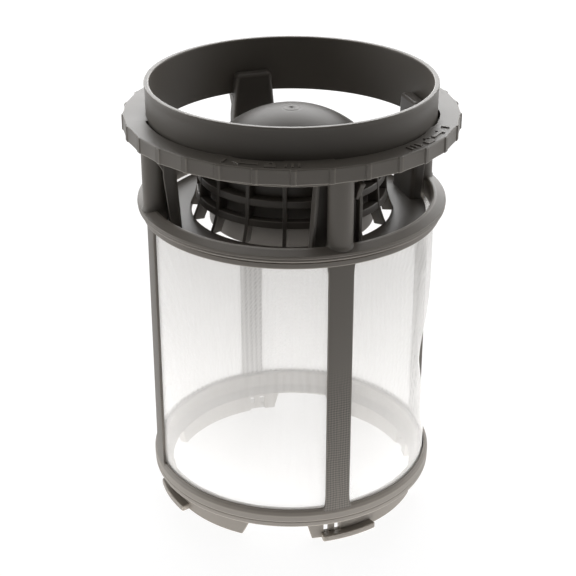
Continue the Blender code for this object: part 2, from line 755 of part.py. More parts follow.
def arms():
    """Four snap arms. Each is a channel that narrows and leans out towards its knee, then
    rises to a closed finger inside the collar. Its walls carry a flared hook each."""
    top = collar_foot_z + ARM_TOP_RISE
    corner = ARM_CORNER
    foot = (ARM_FOOT_WIDTH, arm_foot_r, ARM_FOOT_DEPTH)
    foot_z = shelf_top_z - BITE
    knee = (collar_foot_z - ARM_KNEE_DROP, ARM_KNEE_WIDTH, finger_r, ARM_KNEE_DEPTH)
    arm = lofted("arm", [
        arm_level(foot_z, *foot),
        arm_level(*knee),
        arm_level(top - corner, ARM_TOP_WIDTH, finger_r, ARM_TOP_DEPTH),
        arm_level(top - 0.3 * corner, ARM_TOP_WIDTH - 0.6 * corner, finger_r, ARM_TOP_DEPTH),
        arm_level(top, ARM_TOP_WIDTH - 2 * corner, finger_r + 0.3 * corner,
                  ARM_TOP_DEPTH - 0.3 * corner),
    ])
    recess = lofted("recess", [
        recess_level(foot_z - BITE, *foot),
        recess_level(foot_z, *foot),
        recess_level(*knee),
        recess_level(top - ARM_WALL, ARM_TOP_WIDTH, finger_r, ARM_TOP_DEPTH),
    ])
    cut(arm, recess)

    knee_outer_r = finger_r + ARM_KNEE_DEPTH
    root_r = finger_r + ARM_PLATE + BITE
    hook_top = collar_foot_z - FIT_GAP
    hook_foot = hook_top - HOOK_HEIGHT
    start = (collar_r + HOOK_REACH, hook_top - HOOK_LAND)
    bend = (knee_outer_r + BITE, (hook_top + hook_foot) / 2)
    end = (knee_outer_r - BITE, hook_foot)
    flare = []
    for i in range(6):
        t = i / 5
        flare.append(tuple((1 - t) ** 2 * a + 2 * t * (1 - t) * b + t ** 2 * c
                           for a, b, c in zip(start, bend, end)))
    hook_outline = [(root_r, hook_top), (start[0], hook_top)] + flare + [(root_r, hook_foot)]
    hook_offset = (ARM_KNEE_WIDTH - HOOK_WIDTH) / 2 + FIT_GAP / 3
    hooks = mirror_across(side_plate("hook", hook_outline, hook_offset, HOOK_WIDTH))
    return repeat_round(join(arm, hooks), POST_COUNT)


def coarse_strainer():
    body = join(dome_and_cup(), hoop("upper_hoop", UPPER_HOOP_DROP, cup_r - CUP_WALL / 2))
    lower_inner = cage_radius(cage_top_z - LOWER_HOOP_DROP) - LOWER_HOOP_DEPTH
    skirt = join(shelf(), cage_bars(), hoop("lower_hoop", LOWER_HOOP_DROP, lower_inner))
    return join(body, skirt, arms())


def build():
    for obj in list(bpy.data.objects):
        bpy.data.objects.remove(obj, do_unlink=True)
    frame_grey = plastic("frame_grey", (0.141, 0.130, 0.114), 0.52)
    basket_grey = plastic("basket_grey", (0.150, 0.139, 0.122), 0.55)
    strainer_grey = plastic("strainer_grey", (0.115, 0.107, 0.096), 0.42)
    mesh_white = plastic("mesh_white", (0.80, 0.79, 0.78), 0.60, alpha=0.35)
    dress(upper_frame(), "upper_frame", frame_grey)
    dress(basket_frame(), "basket_frame", basket_grey)
    dress(mesh_sleeve(), "mesh_sleeve", mesh_white)
    dress(coarse_strainer(), "coarse_strainer", strainer_grey)


build()
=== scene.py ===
import math

import bpy
import numpy as np
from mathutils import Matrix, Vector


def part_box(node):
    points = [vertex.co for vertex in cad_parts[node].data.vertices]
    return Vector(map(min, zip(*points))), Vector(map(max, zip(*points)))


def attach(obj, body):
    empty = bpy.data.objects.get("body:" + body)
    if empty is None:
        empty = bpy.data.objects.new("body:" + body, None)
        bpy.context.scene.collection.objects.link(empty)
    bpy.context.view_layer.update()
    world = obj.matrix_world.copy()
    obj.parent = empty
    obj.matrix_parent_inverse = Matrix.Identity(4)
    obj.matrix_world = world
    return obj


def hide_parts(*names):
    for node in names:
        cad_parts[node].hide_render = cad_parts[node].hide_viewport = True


# Dishwasher filter: a mesh basket under a collar with a grip flange, and a domed coarse
# strainer clipped into it. Sizes are in millimetres, and gridMesh turns them into metres.
# Azimuth 0 is -Y and grows towards +X. Posts, ribs and snap arms stand at 0, 90, 180, 270.

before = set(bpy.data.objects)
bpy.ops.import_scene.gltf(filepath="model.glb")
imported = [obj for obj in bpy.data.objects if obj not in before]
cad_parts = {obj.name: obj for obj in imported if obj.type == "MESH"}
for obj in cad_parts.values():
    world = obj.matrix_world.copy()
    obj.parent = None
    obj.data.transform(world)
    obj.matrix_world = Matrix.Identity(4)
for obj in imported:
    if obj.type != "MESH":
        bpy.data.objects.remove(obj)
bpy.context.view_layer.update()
mm = 0.001
quarterTurns = 4
creaseAngle = 34.0           # edges sharper than this are shaded as creases


def boxTop(node):
    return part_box(node)[1].z / mm


def boxFoot(node):
    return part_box(node)[0].z / mm


# Heights of the stages, each standing on the next, and of the cage on its shelf
spans = {"collar": 10.1, "flange": 5.1, "collarTail": 3.4, "posts": 23.0, "ring": 3.8,
         "band": 2.0, "mesh": 88.8, "bottomRing": 8.2, "cage": 20.0}

# Levels, worked out from those that the frame gives
levels = {
    "lip": boxTop("upper_frame"),
    "strainerTop": boxTop("coarse_strainer"),
    "clothTop": boxTop("mesh_sleeve"),
    "clothFoot": boxFoot("mesh_sleeve"),
}
levels["flangeTop"] = levels["lip"] - spans["collar"]
levels["flangeFoot"] = levels["flangeTop"] - spans["flange"]
levels["collarFoot"] = levels["flangeFoot"] - spans["collarTail"]
levels["ringTop"] = levels["flangeFoot"] - spans["posts"]
levels["parting"] = levels["ringTop"] - spans["ring"]
levels["bandFoot"] = levels["parting"] - spans["band"]
levels["meshFoot"] = levels["bandFoot"] - spans["mesh"]
levels["ringFoot"] = levels["meshFoot"] - spans["bottomRing"]
levels["shelfTop"] = levels["bandFoot"]
levels["cageTop"] = levels["shelfTop"] + spans["cage"]


# Shapes

# Points at azimuths in degrees, radii and heights, with an offset sideways: each number may
# be an array, and x = r sin a + o cos a, y = o sin a - r cos a.
def place(azimuth, radius, height, offset=0.0):
    angle = np.radians(azimuth)
    x = radius * np.sin(angle) + offset * np.cos(angle)
    y = offset * np.sin(angle) - radius * np.cos(angle)
    return np.stack(np.broadcast_arrays(x, y, height), axis=-1)


# Which way a closed outline runs, from the sign of its area: 1 anticlockwise, -1 clockwise.
def windingOf(corner):
    following = np.roll(corner, -1, axis=0)
    return np.sign(np.sum(corner[:, 0] * following[:, 1] - following[:, 0] * corner[:, 1]))


# A closed outline with each corner cut back and rounded. A corner P between the tangent
# points A and B becomes the parabola (1-s)^2 A + 2s(1-s) P + s^2 B, with one more point
# just outside each tangent point, which keeps the flats flat when shaded smooth. A cut takes
# no more than 0.38 of the side it lies on. Gives the points and their wear and painted
# highlight, which is highest in the middle of an outer corner, where edges are painted paler.
def rounded(corners, cuts, steps=5, support=0.25):
    corner = np.asarray(corners, float)
    cut = np.broadcast_to(np.asarray(cuts, float), len(corner))[:, None]
    before, after = np.roll(corner, 1, axis=0) - corner, np.roll(corner, -1, axis=0) - corner
    lengthBefore = np.linalg.norm(before, axis=1, keepdims=True)
    lengthAfter = np.linalg.norm(after, axis=1, keepdims=True)
    reach = np.minimum(np.maximum(cut, 0.02), 0.38 * np.minimum(lengthBefore, lengthAfter))
    unitBefore, unitAfter = before / lengthBefore, after / lengthAfter
    start, end = corner + unitBefore * reach, corner + unitAfter * reach
    s = np.linspace(0.0, 1.0, steps)[None, :, None]
    arc = (1 - s) ** 2 * start[:, None] + 2 * s * (1 - s) * corner[:, None] + s ** 2 * end[:, None]
    first = (start + unitBefore * reach * support)[:, None]
    last = (end + unitAfter * reach * support)[:, None]
    points = np.concatenate([first, arc, last], axis=1)
    turn = unitBefore[:, 0] * unitAfter[:, 1] - unitBefore[:, 1] * unitAfter[:, 0]
    outer = np.clip(-turn * windingOf(corner), 0.0, 1.0)[:, None]
    bump = np.concatenate([[0.0], 4 * s[0, :, 0] * (1 - s[0, :, 0]), [0.0]])[None]
    return points.reshape(-1, 2), (outer * bump).reshape(-1)


# Mesh from a grid of points, rows by columns, or from several such grids of one size: each
# cell is a face. Columns always close round; rows close too, or are capped with one face, or
# stay open. The wear and painted highlight of each point, from 0 to 1, goes into an attribute.
def gridMesh(name, points, wearAndHighlight=None, rowsClose=False, capped=False):
    grid = np.asarray(points, float)
    if grid.ndim == 3:
        grid = grid[None]
    copies, rows, columns = grid.shape[:3]
    i = np.arange(rows if rowsClose else rows - 1)[:, None]
    j = np.arange(columns)[None]
    iNext, jNext = (i + 1) % rows, (j + 1) % columns
    quad = np.stack([i * columns + j, i * columns + jNext, iNext * columns + jNext,
                     iNext * columns + j], axis=-1).reshape(-1, 4)
    faces = []
    for copy in range(copies):
        base = copy * rows * columns
        faces += (quad + base).tolist()
        if capped:
            faces.append(list(range(base + columns - 1, base - 1, -1)))
            faces.append(list(range(base + (rows - 1) * columns, base + rows * columns)))
    mesh = bpy.data.meshes.new(name)
    mesh.from_pydata((grid.reshape(-1, 3) * mm).tolist(), [], faces)
    wornAndLit = np.zeros(copies * rows * columns) if wearAndHighlight is None else np.broadcast_to(
        wearAndHighlight, (copies, rows, columns)).reshape(-1)
    mesh.attributes.new("wearAndHighlight", "FLOAT", "POINT").data.foreach_set("value", wornAndLit.astype(np.float32))
    if (capped or rowsClose) and signedVolume(mesh) < 0:
        mesh.flip_normals()
    mesh.shade_smooth()
    mesh.set_sharp_from_angle(angle=math.radians(creaseAngle))
    obj = bpy.data.objects.new(name, mesh)
    bpy.context.scene.collection.objects.link(obj)
    return obj


# The triple product a . (b x c) of each triangle's corners, summed. It is six times the
# volume inside a closed shell, and negative when the shell is inside out.
def signedVolume(mesh):
    mesh.calc_loop_triangles()
    spots = np.empty(len(mesh.vertices) * 3)
    mesh.vertices.foreach_get("co", spots)
    corner = np.empty(len(mesh.loop_triangles) * 3, int)
    mesh.loop_triangles.foreach_get("vertices", corner)
    a, b, c = spots.reshape(-1, 3)[corner.reshape(-1, 3)].transpose(1, 0, 2)
    return float(np.einsum("ij,ij->i", a, np.cross(b, c)).sum())


# The same points turned round the axis, once for each copy.
def turnedCopies(points, count):
    angle = np.radians(360.0 * np.arange(count) / count)
    turn = np.zeros((count, 3, 3))
    turn[:, 0, 0] = turn[:, 1, 1] = np.cos(angle)
    turn[:, 1, 0], turn[:, 0, 1], turn[:, 2, 2] = np.sin(angle), -np.sin(angle), 1.0
    return np.einsum("kij,rcj->krci", turn, np.asarray(points, float))


# A turned piece: every point (r, z) of a closed, rounded outline goes round the axis.
def lathe(name, corners, cuts, segments=240, steps=5):
    outline, wornAndLit = rounded(corners, cuts, steps)
    azimuth = np.linspace(0.0, 360.0, segments, endpoint=False)
    points = place(azimuth[None], outline[:, :1], outline[:, 1:])
    return gridMesh(name, points, wornAndLit[:, None], rowsClose=True)


# A turned piece that starts and ends on the axis: the open line is closed at both poles.
def latheFromAxis(name, line, wornAndLit, segments=192):
    line = np.asarray(line, float)
    azimuth = np.linspace(0.0, 360.0, segments, endpoint=False)
    points = place(azimuth[None], np.maximum(line[:, :1], 0.01), line[:, 1:])
    return gridMesh(name, points, wornAndLit[:, None], capped=True)


# The corners of a closed outline moved in by one distance from both their sides.
def insetCorners(corners, distance):
    corner = np.asarray(corners, float)
    along = np.roll(corner, -1, axis=0) - corner
    along /= np.maximum(np.linalg.norm(along, axis=1, keepdims=True), 1e-9)
    inward = np.stack([-along[:, 1], along[:, 0]], axis=1) * windingOf(corner)
    previous = np.roll(inward, 1, axis=0)
    spread = np.maximum(1 + np.sum(inward * previous, axis=1, keepdims=True), 0.35)
    return corner + distance * (inward + previous) / spread


# Rows of a solid between two depths. The outline is drawn in by the edge's size at both
# ends, on a quarter round.
def edgedRows(corners, cuts, low, high, edge, steps=4):
    t = np.linspace(0.0, math.pi / 2, steps)
    inset, rise = edge * (1 - np.sin(t)), edge * (1 - np.cos(t))
    inset = np.concatenate([[edge * 1.25], inset, [0.0, 0.0], inset[::-1], [edge * 1.25]])
    support = edge * 0.25
    depth = np.concatenate([[low], low + rise, [low + edge + support, high - edge - support],
                            high - rise[::-1], [high]])
    cut = np.broadcast_to(np.asarray(cuts, float), len(corners))
    wornAndLit = rounded(corners, cut)[1]
    flat = np.array([rounded(insetCorners(corners, distance), np.maximum(cut - 0.5 * distance, 0.02))[0]
                     for distance in inset])
    arcWearAndHighlight = np.sin(2 * t)
    rowWearAndHighlight = np.concatenate([[0.0], arcWearAndHighlight, [0.0, 0.0], arcWearAndHighlight[::-1], [0.0]])
    return flat, depth, np.maximum(rowWearAndHighlight[:, None], wornAndLit[None] * 0.7)


# A solid from an outline in the plane of u and v, between two depths w. The mapping gives
# each (u, v, w) its place at azimuth 0.
def block(name, corners, cuts, low, high, edge, mapping, count=1):
    flat, depth, wearAndHighlight = edgedRows(corners, cuts, low, high, edge)
    points = mapping(flat[..., 0], flat[..., 1], depth[:, None])
    return gridMesh(name, turnedCopies(points, count), wearAndHighlight, capped=True)


def seenFromSide(radius, height, offset):  # outline of radius and height, depth sideways
    return place(0.0, radius, height, offset)


def seenFromAbove(offset, radius, height):  # plan outline of offset and radius, depth upwards
    return place(0.0, radius, height, offset)


# A piece that belongs to the object: it rides on the root, takes a slot and a material,
# and stands for its CAD node.
def finishPiece(piece, node, material):
    piece.data.materials.clear()
    piece.data.materials.append(material)
    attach(piece, "root")
    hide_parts(node)
    return piece


# Materials

# One value in a shader: a socket with arithmetic. Every operation adds its Math node.
class Signal:
    def __init__(self, tree, socket=None):
        self.tree, self.socket = tree, socket

    # Any node: its type, its settings (a ramp's stops too), the values or links of its
    # sockets, and the name or number of the output that is wanted.
    def node(self, kind, settings=None, inputs=None, output=0):
        made = self.tree.nodes.new(kind)
        for key, value in (settings or {}).items():
            if key == "stops":
                self.setStops(made.color_ramp, value)
            else:
                setattr(made, key, value)
        for key, value in (inputs or {}).items():
            if isinstance(value, Signal):
                self.tree.links.new(value.socket, made.inputs[key])
            else:
                made.inputs[key].default_value = value
        return Signal(self.tree, made.outputs[output] if len(made.outputs) else None)

    @staticmethod
    def setStops(ramp, stops):
        while len(ramp.elements) > 1:
            ramp.elements.remove(ramp.elements[-1])
        for number, (position, colour) in enumerate(stops):
            stop = ramp.elements[0] if number == 0 else ramp.elements.new(position)
            stop.position, stop.color = position, colour

    def math(self, operation, first, second=None):
        inputs = {0: first} if second is None else {0: first, 1: second}
        return self.node("ShaderNodeMath", {"operation": operation}, inputs)

    def __add__(self, other): return self.math("ADD", self, other)
    def __radd__(self, other): return self.math("ADD", other, self)
    def __sub__(self, other): return self.math("SUBTRACT", self, other)
    def __rsub__(self, other): return self.math("SUBTRACT", other, self)
    def __mul__(self, other): return self.math("MULTIPLY", self, other)
    def __rmul__(self, other): return self.math("MULTIPLY", other, self)
    def __truediv__(self, other): return self.math("DIVIDE", self, other)
    def __rtruediv__(self, other): return self.math("DIVIDE", other, self)

    def clamped(self):                           # kept between 0 and 1
        return self.math("MAXIMUM", self.math("MINIMUM", self, 1.0), 0.0)

    def mixed(self, factor, first, second):      # colours, by a factor from 0 to 1
        return self.node("ShaderNodeMix", {"data_type": "RGBA"},
                         {"Factor": factor, 6: first, 7: second}, output=2)

    def blended(self, factor, first, second):    # shaders, by a factor from 0 to 1
        return self.node("ShaderNodeMixShader", None, {0: factor, 1: first, 2: second})

    def shown(self):                             # makes this the material's surface
        output = self.tree.nodes["Material Output"]
        self.tree.links.new(self.socket, output.inputs["Surface"])

    def noise(self, scale, detail, roughness, vector):
        return self.node("ShaderNodeTexNoise", None, {"Scale": scale, "Detail": detail,
                                                      "Roughness": roughness, "Vector": vector})


def newMaterial(name):  # the material, a signal that makes its nodes, and its main shader
    material = bpy.data.materials.new(name)
    material.use_nodes = True
    tree = material.node_tree
    return material, Signal(tree), tree.nodes["Principled BSDF"]


def shade(colour, factor=1.0):  # a colour made darker or lighter, with its alpha
    return (colour[0] * factor, colour[1] * factor, colour[2] * factor, 1.0)


plasticFinish = {
    "frame": {"colour": (0.126, 0.112, 0.095), "roughness": 0.46, "specular": 0.5, "wearAndHighlight": 0.55},
    # basket: the frame's plastic made about 1.3 times lighter, as painted light; the middle ring takes it too
    "basket": {"colour": (0.164, 0.146, 0.125), "roughness": 0.50, "specular": 0.5, "wearAndHighlight": 0.6},
    # rib: the frame's plastic made about 0.87 times as dark, as painted shade on the ribs
    "rib": {"colour": (0.109, 0.096, 0.081), "roughness": 0.52, "specular": 0.5, "wearAndHighlight": 0.5},
    "strainer": {"colour": (0.088, 0.078, 0.067), "roughness": 0.46, "specular": 0.45, "wearAndHighlight": 0.5},
}


plasticSurface = {
    "cloudScale": 55.0, "cloudShare": 0.10,      # slow changes of the colour, up and down
    "grainScale": 2600.0, "grainMix": 0.35, "grainDark": 0.86, "grainPale": 1.16,
    "wornAndLitPale": 2.3,                             # edges are painted this much lighter, for wear and for painted highlight
    "bump": 0.35, "bumpDepth": 0.06,
    "weavePitch": 0.88, "weaveTop": 52.0, "weaveFade": 16.0, "weaveDepth": 1.4,
    "weaveMix": 0.8, "weaveDark": 0.35, "weavePale": 1.6,
}


# Moulded plastic: a slow cloudiness and a fine grain in the colour, and edges painted paler, partly as wear
# and partly as painted highlight.
# With an imprint it also carries the cloth's weave, pressed into the lower half of the ribs,
# which fades out over a short height and is weaker in the darker clouds.
def mouldedPlastic(name, finish, imprint=False):
    look, tone = plasticSurface, finish["colour"]
    material, make, shader = newMaterial(name)
    where = make.node("ShaderNodeTexCoord", output="Object")
    cloud = make.noise(look["cloudScale"], 3.0, 0.55, where)
    grain = make.noise(look["grainScale"], 2.0, 0.6, where)
    wornAndLit = make.node("ShaderNodeAttribute", {"attribute_name": "wearAndHighlight"}, output="Fac")
    base = make.mixed(cloud, shade(tone, 1 - look["cloudShare"]), shade(tone, 1 + look["cloudShare"]))
    speck = make.mixed((grain - 0.5) * 0.5 + 0.5, shade(tone, look["grainDark"]),
                       shade(tone, look["grainPale"]))
    colour = make.mixed(look["grainMix"], base, speck)
    # Edges painted paler: partly wear, partly painted highlight where edges catch the light.
    colour = make.mixed((wornAndLit * finish["wearAndHighlight"] * (cloud * 0.6 + 0.7)).clamped(), colour,
                        shade(tone, look["wornAndLitPale"]))
    height = grain * 0.6 + cloud * 0.4
    if imprint:
        weave = weaveHeight(make, where, look["weavePitch"])
        level = make.node("ShaderNodeSeparateXYZ", None, {"Vector": where}, output="Z")
        low = (1.0 - (level - look["weaveTop"] * mm) / (look["weaveFade"] * mm)).clamped()
        low = low * (cloud * 0.9 + 0.45).clamped()
        height = height + weave * low * look["weaveDepth"]
        threads = make.mixed(weave, shade(tone, look["weaveDark"]), shade(tone, look["weavePale"]))
        colour = make.mixed(low * look["weaveMix"], colour, threads)
    bump = make.node("ShaderNodeBump", None, {"Strength": look["bump"], "Height": height,
                                              "Distance": look["bumpDepth"] * mm}, output="Normal")
    tree = material.node_tree
    tree.links.new(colour.socket, shader.inputs["Base Color"])
    tree.links.new((cloud * 0.12 + (finish["roughness"] - 0.06) - wornAndLit * 0.08).socket,
                   shader.inputs["Roughness"])
    tree.links.new(bump.socket, shader.inputs["Normal"])
    shader.inputs["Specular IOR Level"].default_value = finish["specular"]
    return material


# Height of a plain weave on a rib, from 0 to 1: two sets of sine ridges at right angles, one
# round the axis and one up it, with the pitch in millimetres. A slow noise sways both.
def weaveHeight(make, where, pitch):
    axes = [make.node("ShaderNodeSeparateXYZ", None, {"Vector": where}, output=axis)
            for axis in ("X", "Y", "Z")]
    around = make.math("ARCTAN2", axes[0], axes[1]) * (clothShape["radius"] * mm)
    turn = 2 * math.pi / (pitch * mm)
    sway = make.noise(160.0, 1.0, 0.5, where) * 7.0
    across, along = make.math("SINE", around * turn + sway), make.math("SINE", axes[2] * turn - sway)
    return across * 0.22 + along * 0.28 + 0.5


clothShape = {
    "radius": 47.0,          # gives the cloth's flat width
    "slack": 0.15,           # the tube stands this much inside that radius
    "panelBulge": 0.30,      # the cloth stands out this much in the middle of a panel
    "ripple": 0.10,
    "waves": ((9, 2.1), (5, -3.7)),    # each ripple's count round the tube, and its slant
    "ends": 14.0,            # the bulge grows over this height from both ends
    "dent": -3.0,            # the pushed-in place beside one rib
    "dentAzimuth": 66.0, "dentWidth": 23.0, "dentHeight": 15.0, "dentLevel": 49.0,
    "pitch": 0.36,           # from thread to thread
    "thread": 0.42,          # share of the pitch that a thread covers
    "bump": 0.2, "bumpDepth": 0.08,
    "colour": (0.86, 0.85, 0.838),
    "glow": 0.40,            # share of the light that the threads pass on to their other side
    "glowColour": (0.80, 0.785, 0.77, 1.0),
}


# Woven filter cloth: warp and weft threads in a plain weave, on the cloth's own UV map, in
# metres. A thread lies where the size of its sine is over the edge, and the product of both
# sines says which one is on top. Between the threads the cloth is open.
def wovenCloth(name, shape):
    material, make, shader = newMaterial(name)
    onCloth = make.node("ShaderNodeUVMap", {"uv_map": "cloth"})
    part = [make.node("ShaderNodeSeparateXYZ", None, {"Vector": onCloth}, output=axis)
            for axis in ("X", "Y")]
    turn = math.pi / (shape["pitch"] * mm)
    warp, weft = make.math("SINE", part[0] * turn), make.math("SINE", part[1] * turn)
    edge = math.cos(math.pi / 2 * shape["thread"])
    warpSize, weftSize = make.math("ABSOLUTE", warp), make.math("ABSOLUTE", weft)
    warpMask = ((warpSize - edge) / 0.12 + 0.5).clamped()
    weftMask = ((weftSize - edge) / 0.12 + 0.5).clamped()
    covered = make.math("MAXIMUM", warpMask, weftMask)
    over = warp * weft * 0.5 + 0.5
    cloud = make.noise(40.0, 3.0, 0.6, make.node("ShaderNodeTexCoord", output="Object"))
    # Where the weft lies on top the threads are painted 7 per cent darker, as painted shade of the weave.
    threads = make.mixed(over, shade(shape["colour"], 0.93), shade(shape["colour"]))
    colour = make.mixed(cloud * 0.5, threads, shade(shape["colour"], 0.95))
    height = warpMask * over + weftMask * (1.0 - over)
    bump = make.node("ShaderNodeBump", None, {"Strength": shape["bump"], "Height": height,
                                              "Distance": shape["bumpDepth"] * mm}, output="Normal")
    tree = material.node_tree
    tree.links.new(colour.socket, shader.inputs["Base Color"])
    solid = (covered * 0.95 + 0.03).clamped()
    tree.links.new(solid.socket, shader.inputs["Alpha"])
    tree.links.new(bump.socket, shader.inputs["Normal"])
    shader.inputs["Roughness"].default_value = 0.62
    shader.inputs["Specular IOR Level"].default_value = 0.3
    glow = make.node("ShaderNodeBsdfTranslucent", None, {"Color": shape["glowColour"]})
    clear = make.node("ShaderNodeBsdfTransparent", None, {"Color": (1.0, 1.0, 1.0, 1.0)})
    through = make.blended(solid, clear, glow)
    make.blended(shape["glow"], Signal(tree, shader.outputs[0]), through).shown()
    return material


# Upper frame: collar, grip flange, posts and middle ring

collarShape = {"radius": 46.8, "wall": 1.4, "footWall": 2.1, "bead": 0.25, "beadHeight": 2.6}


# Collar: a turned wall, thicker at its foot, with a low bead round the outside of its lip.
def makeCollar(material):
    outer, bead = collarShape["radius"], collarShape["radius"] + collarShape["bead"]
    inner = outer - collarShape["wall"]
    lip, foot = levels["lip"], levels["collarFoot"]
    low = lip - collarShape["beadHeight"]
    corners = [(bead, lip), (bead - 0.03, lip - 0.9), (outer, low), (outer, foot),
               (outer - collarShape["footWall"], foot), (inner, lip)]
    piece = lathe("collar", corners, [0.45, 0.7, 0.7, 0.35, 0.3, 0.55], segments=288, steps=6)
    return finishPiece(piece, "upper_frame", material)


flangeShape = {
    "cornerRadius": 54.6, "sides": 30, "land": 1.7, "landEdge": 0.16, "edge": 0.45,
    "step": 0.22,            # the lands stand this much proud of the flats
    "hollow": 0.20,          # the flats are drawn in this much in their middle
    "trim": 0.13,            # the lands stop this much short of the sharp corners
    "line": 0.14,            # depth of the fine dark line beside each land
    "grooveStart": 0.2, "grooveWidth": 0.5, "grooveDepth": 2.4,
    "bridges": ((43.0, 49.4), (69.0, 87.0)),     # where the groove is bridged, in each quarter
    "steepStretch": (46.0, 78.0), "steepRamp": 4.0, "softRamp": 11.0,
}


# How open the groove beside the collar is, from 0 on a bridge to 1: it grows evenly with the
# angle from the nearest bridge, over a steep ramp in one stretch and a soft one elsewhere.
def grooveOpenness(azimuth):
    shape = flangeShape
    inQuarter = (azimuth + 3.0) % 90.0 - 3.0
    low, high = shape["steepStretch"]
    ramp = np.where((inQuarter > low) & (inQuarter < high), shape["steepRamp"], shape["softRamp"])
    openness = np.ones(azimuth.size)
    for start, end in shape["bridges"]:
        away = np.maximum(start - inQuarter, inQuarter - end)
        away = np.minimum(np.abs(away), np.abs(90.0 - away)) * np.sign(away)
        openness = np.minimum(openness, np.clip(away / ramp, 0, 1))
    return openness


# Grip flange. Its outer edge, as a radius over the azimuth, is the distance to the nearest
# of thirty flats, drawn in by a cosine, with a narrow proud land on each corner. The rows of
# the grid go from the groove's floor over the top face, round the edge and back underneath.
def makeFlange(material):
    shape = flangeShape
    pitch = 360.0 / shape["sides"]
    azimuth = np.linspace(0.0, 360.0, 1440, endpoint=False)
    fromFlat = (azimuth + pitch / 2) % pitch - pitch / 2
    apothem = shape["cornerRadius"] * math.cos(math.radians(pitch / 2))
    offset = apothem * np.tan(np.radians(fromFlat))
    half = apothem * math.tan(math.radians(pitch / 2)) - shape["land"] / 2
    flat = apothem - shape["step"] - shape["hollow"] * (
        0.5 + 0.5 * np.cos(np.clip(offset / half, -1, 1) * math.pi / 2))
    flat = flat - shape["line"] * np.exp(-((offset - half + 0.25) / 0.25) ** 2)
    paintedLandHighlight = 0.7 * np.exp(-((offset + half + 0.2) / 0.28) ** 2)    # painted highlight along each land's far edge
    rise = np.clip((np.abs(offset) - half) / shape["landEdge"] + 0.5, 0.0, 1.0)
    rise = rise * rise * (3 - 2 * rise)
    corner = apothem / math.cos(math.radians(pitch / 2)) - shape["trim"]
    outer = (flat / np.cos(np.radians(fromFlat))) * (1 - rise) + corner * rise
    inner = collarShape["radius"] - 0.4
    openness = grooveOpenness(azimuth)
    depth = shape["grooveDepth"] * np.clip(openness * 5, 0, 1)
    groove = collarShape["radius"] + shape["grooveStart"] + shape["grooveWidth"] * openness ** 0.8
    top, foot, edge = levels["flangeTop"], levels["flangeFoot"], shape["edge"]
    t = np.linspace(0.0, math.pi / 2, 5)
    inset, drop, arcWearAndHighlight = edge * (1 - np.sin(t)), edge * (1 - np.cos(t)), np.sin(2 * t)
    rows = [    # radius, height, and painted wear and highlight
        (inner, top - depth, 0.0), (groove - 0.15, top - depth, 0.0), (groove, top - depth * 0.92, 0.0),
        # painted highlight along the groove's outer edge where the groove is open
        (groove + 0.02, top - depth * 0.12, 0.0), (groove + 0.12, top - 0.02, 0.5 * (depth > 0.5)),
        (groove + 0.3, top, 0.0), (outer - edge * 1.3, top, 0.0),
    ]
    rows += [(outer - inset[k], top - drop[k], arcWearAndHighlight[k] + paintedLandHighlight) for k in range(5)]
    rows += [(outer, top - edge * 1.3, paintedLandHighlight), (outer, foot + edge * 1.3, paintedLandHighlight)]
    rows += [(outer - inset[k], foot + drop[k], 1.1 * arcWearAndHighlight[k] + paintedLandHighlight) for k in reversed(range(5))]
    rows += [(outer - edge * 1.3, foot, 0.0), (inner, foot, 0.0)]
    radii, heights, wornAndLit = (np.array([np.broadcast_to(row[part], azimuth.shape) for row in rows])
                            for part in range(3))
    piece = gridMesh("gripFlange", place(azimuth[None], radii, heights), np.clip(wornAndLit, 0, 1),
                     rowsClose=True)
    return finishPiece(piece, "upper_frame", material)


postShape = {"radius": 4.0, "pitchRadius": 46.0, "flare": 0.35, "sinkFoot": 0.9, "sinkTop": 0.3}


# Posts: each is a turned column about its own axis. Its radius grows by a small flare that
# rises from 0 to 1 over the last two millimetres at both ends.
def makePosts(material):
    shape = postShape
    low, high = levels["ringTop"] - shape["sinkFoot"], levels["flangeFoot"] + shape["sinkTop"]
    turn = np.radians(np.linspace(0.0, 360.0, 64, endpoint=False))
    heights = np.array([low, low + 0.5, low + 0.9, low + 1.3, low + 2.2, high - 1.6, high - 0.9,
                        high - 0.5, high])
    flare = np.array([1.0, 0.9, 0.45, 0.12, 0.0, 0.0, 0.12, 0.5, 1.0]) * shape["flare"]
    radius = (shape["radius"] + flare)[:, None]
    points = place(0.0, shape["pitchRadius"] + radius * np.cos(turn), heights[:, None],
                   radius * np.sin(turn))
    piece = gridMesh("posts", turnedCopies(points, quarterTurns), capped=True)
    return finishPiece(piece, "upper_frame", material)


ringShape = {"outer": 50.8, "crown": 47.6, "slope": 1.15, "step": 0.12, "line": 0.12,
             "inner": 46.0, "innerSlope": 0.75, "rebate": 49.6, "roof": 2.3,
             "lip": 46.4, "lipLength": 2.8, "gap": 0.3}


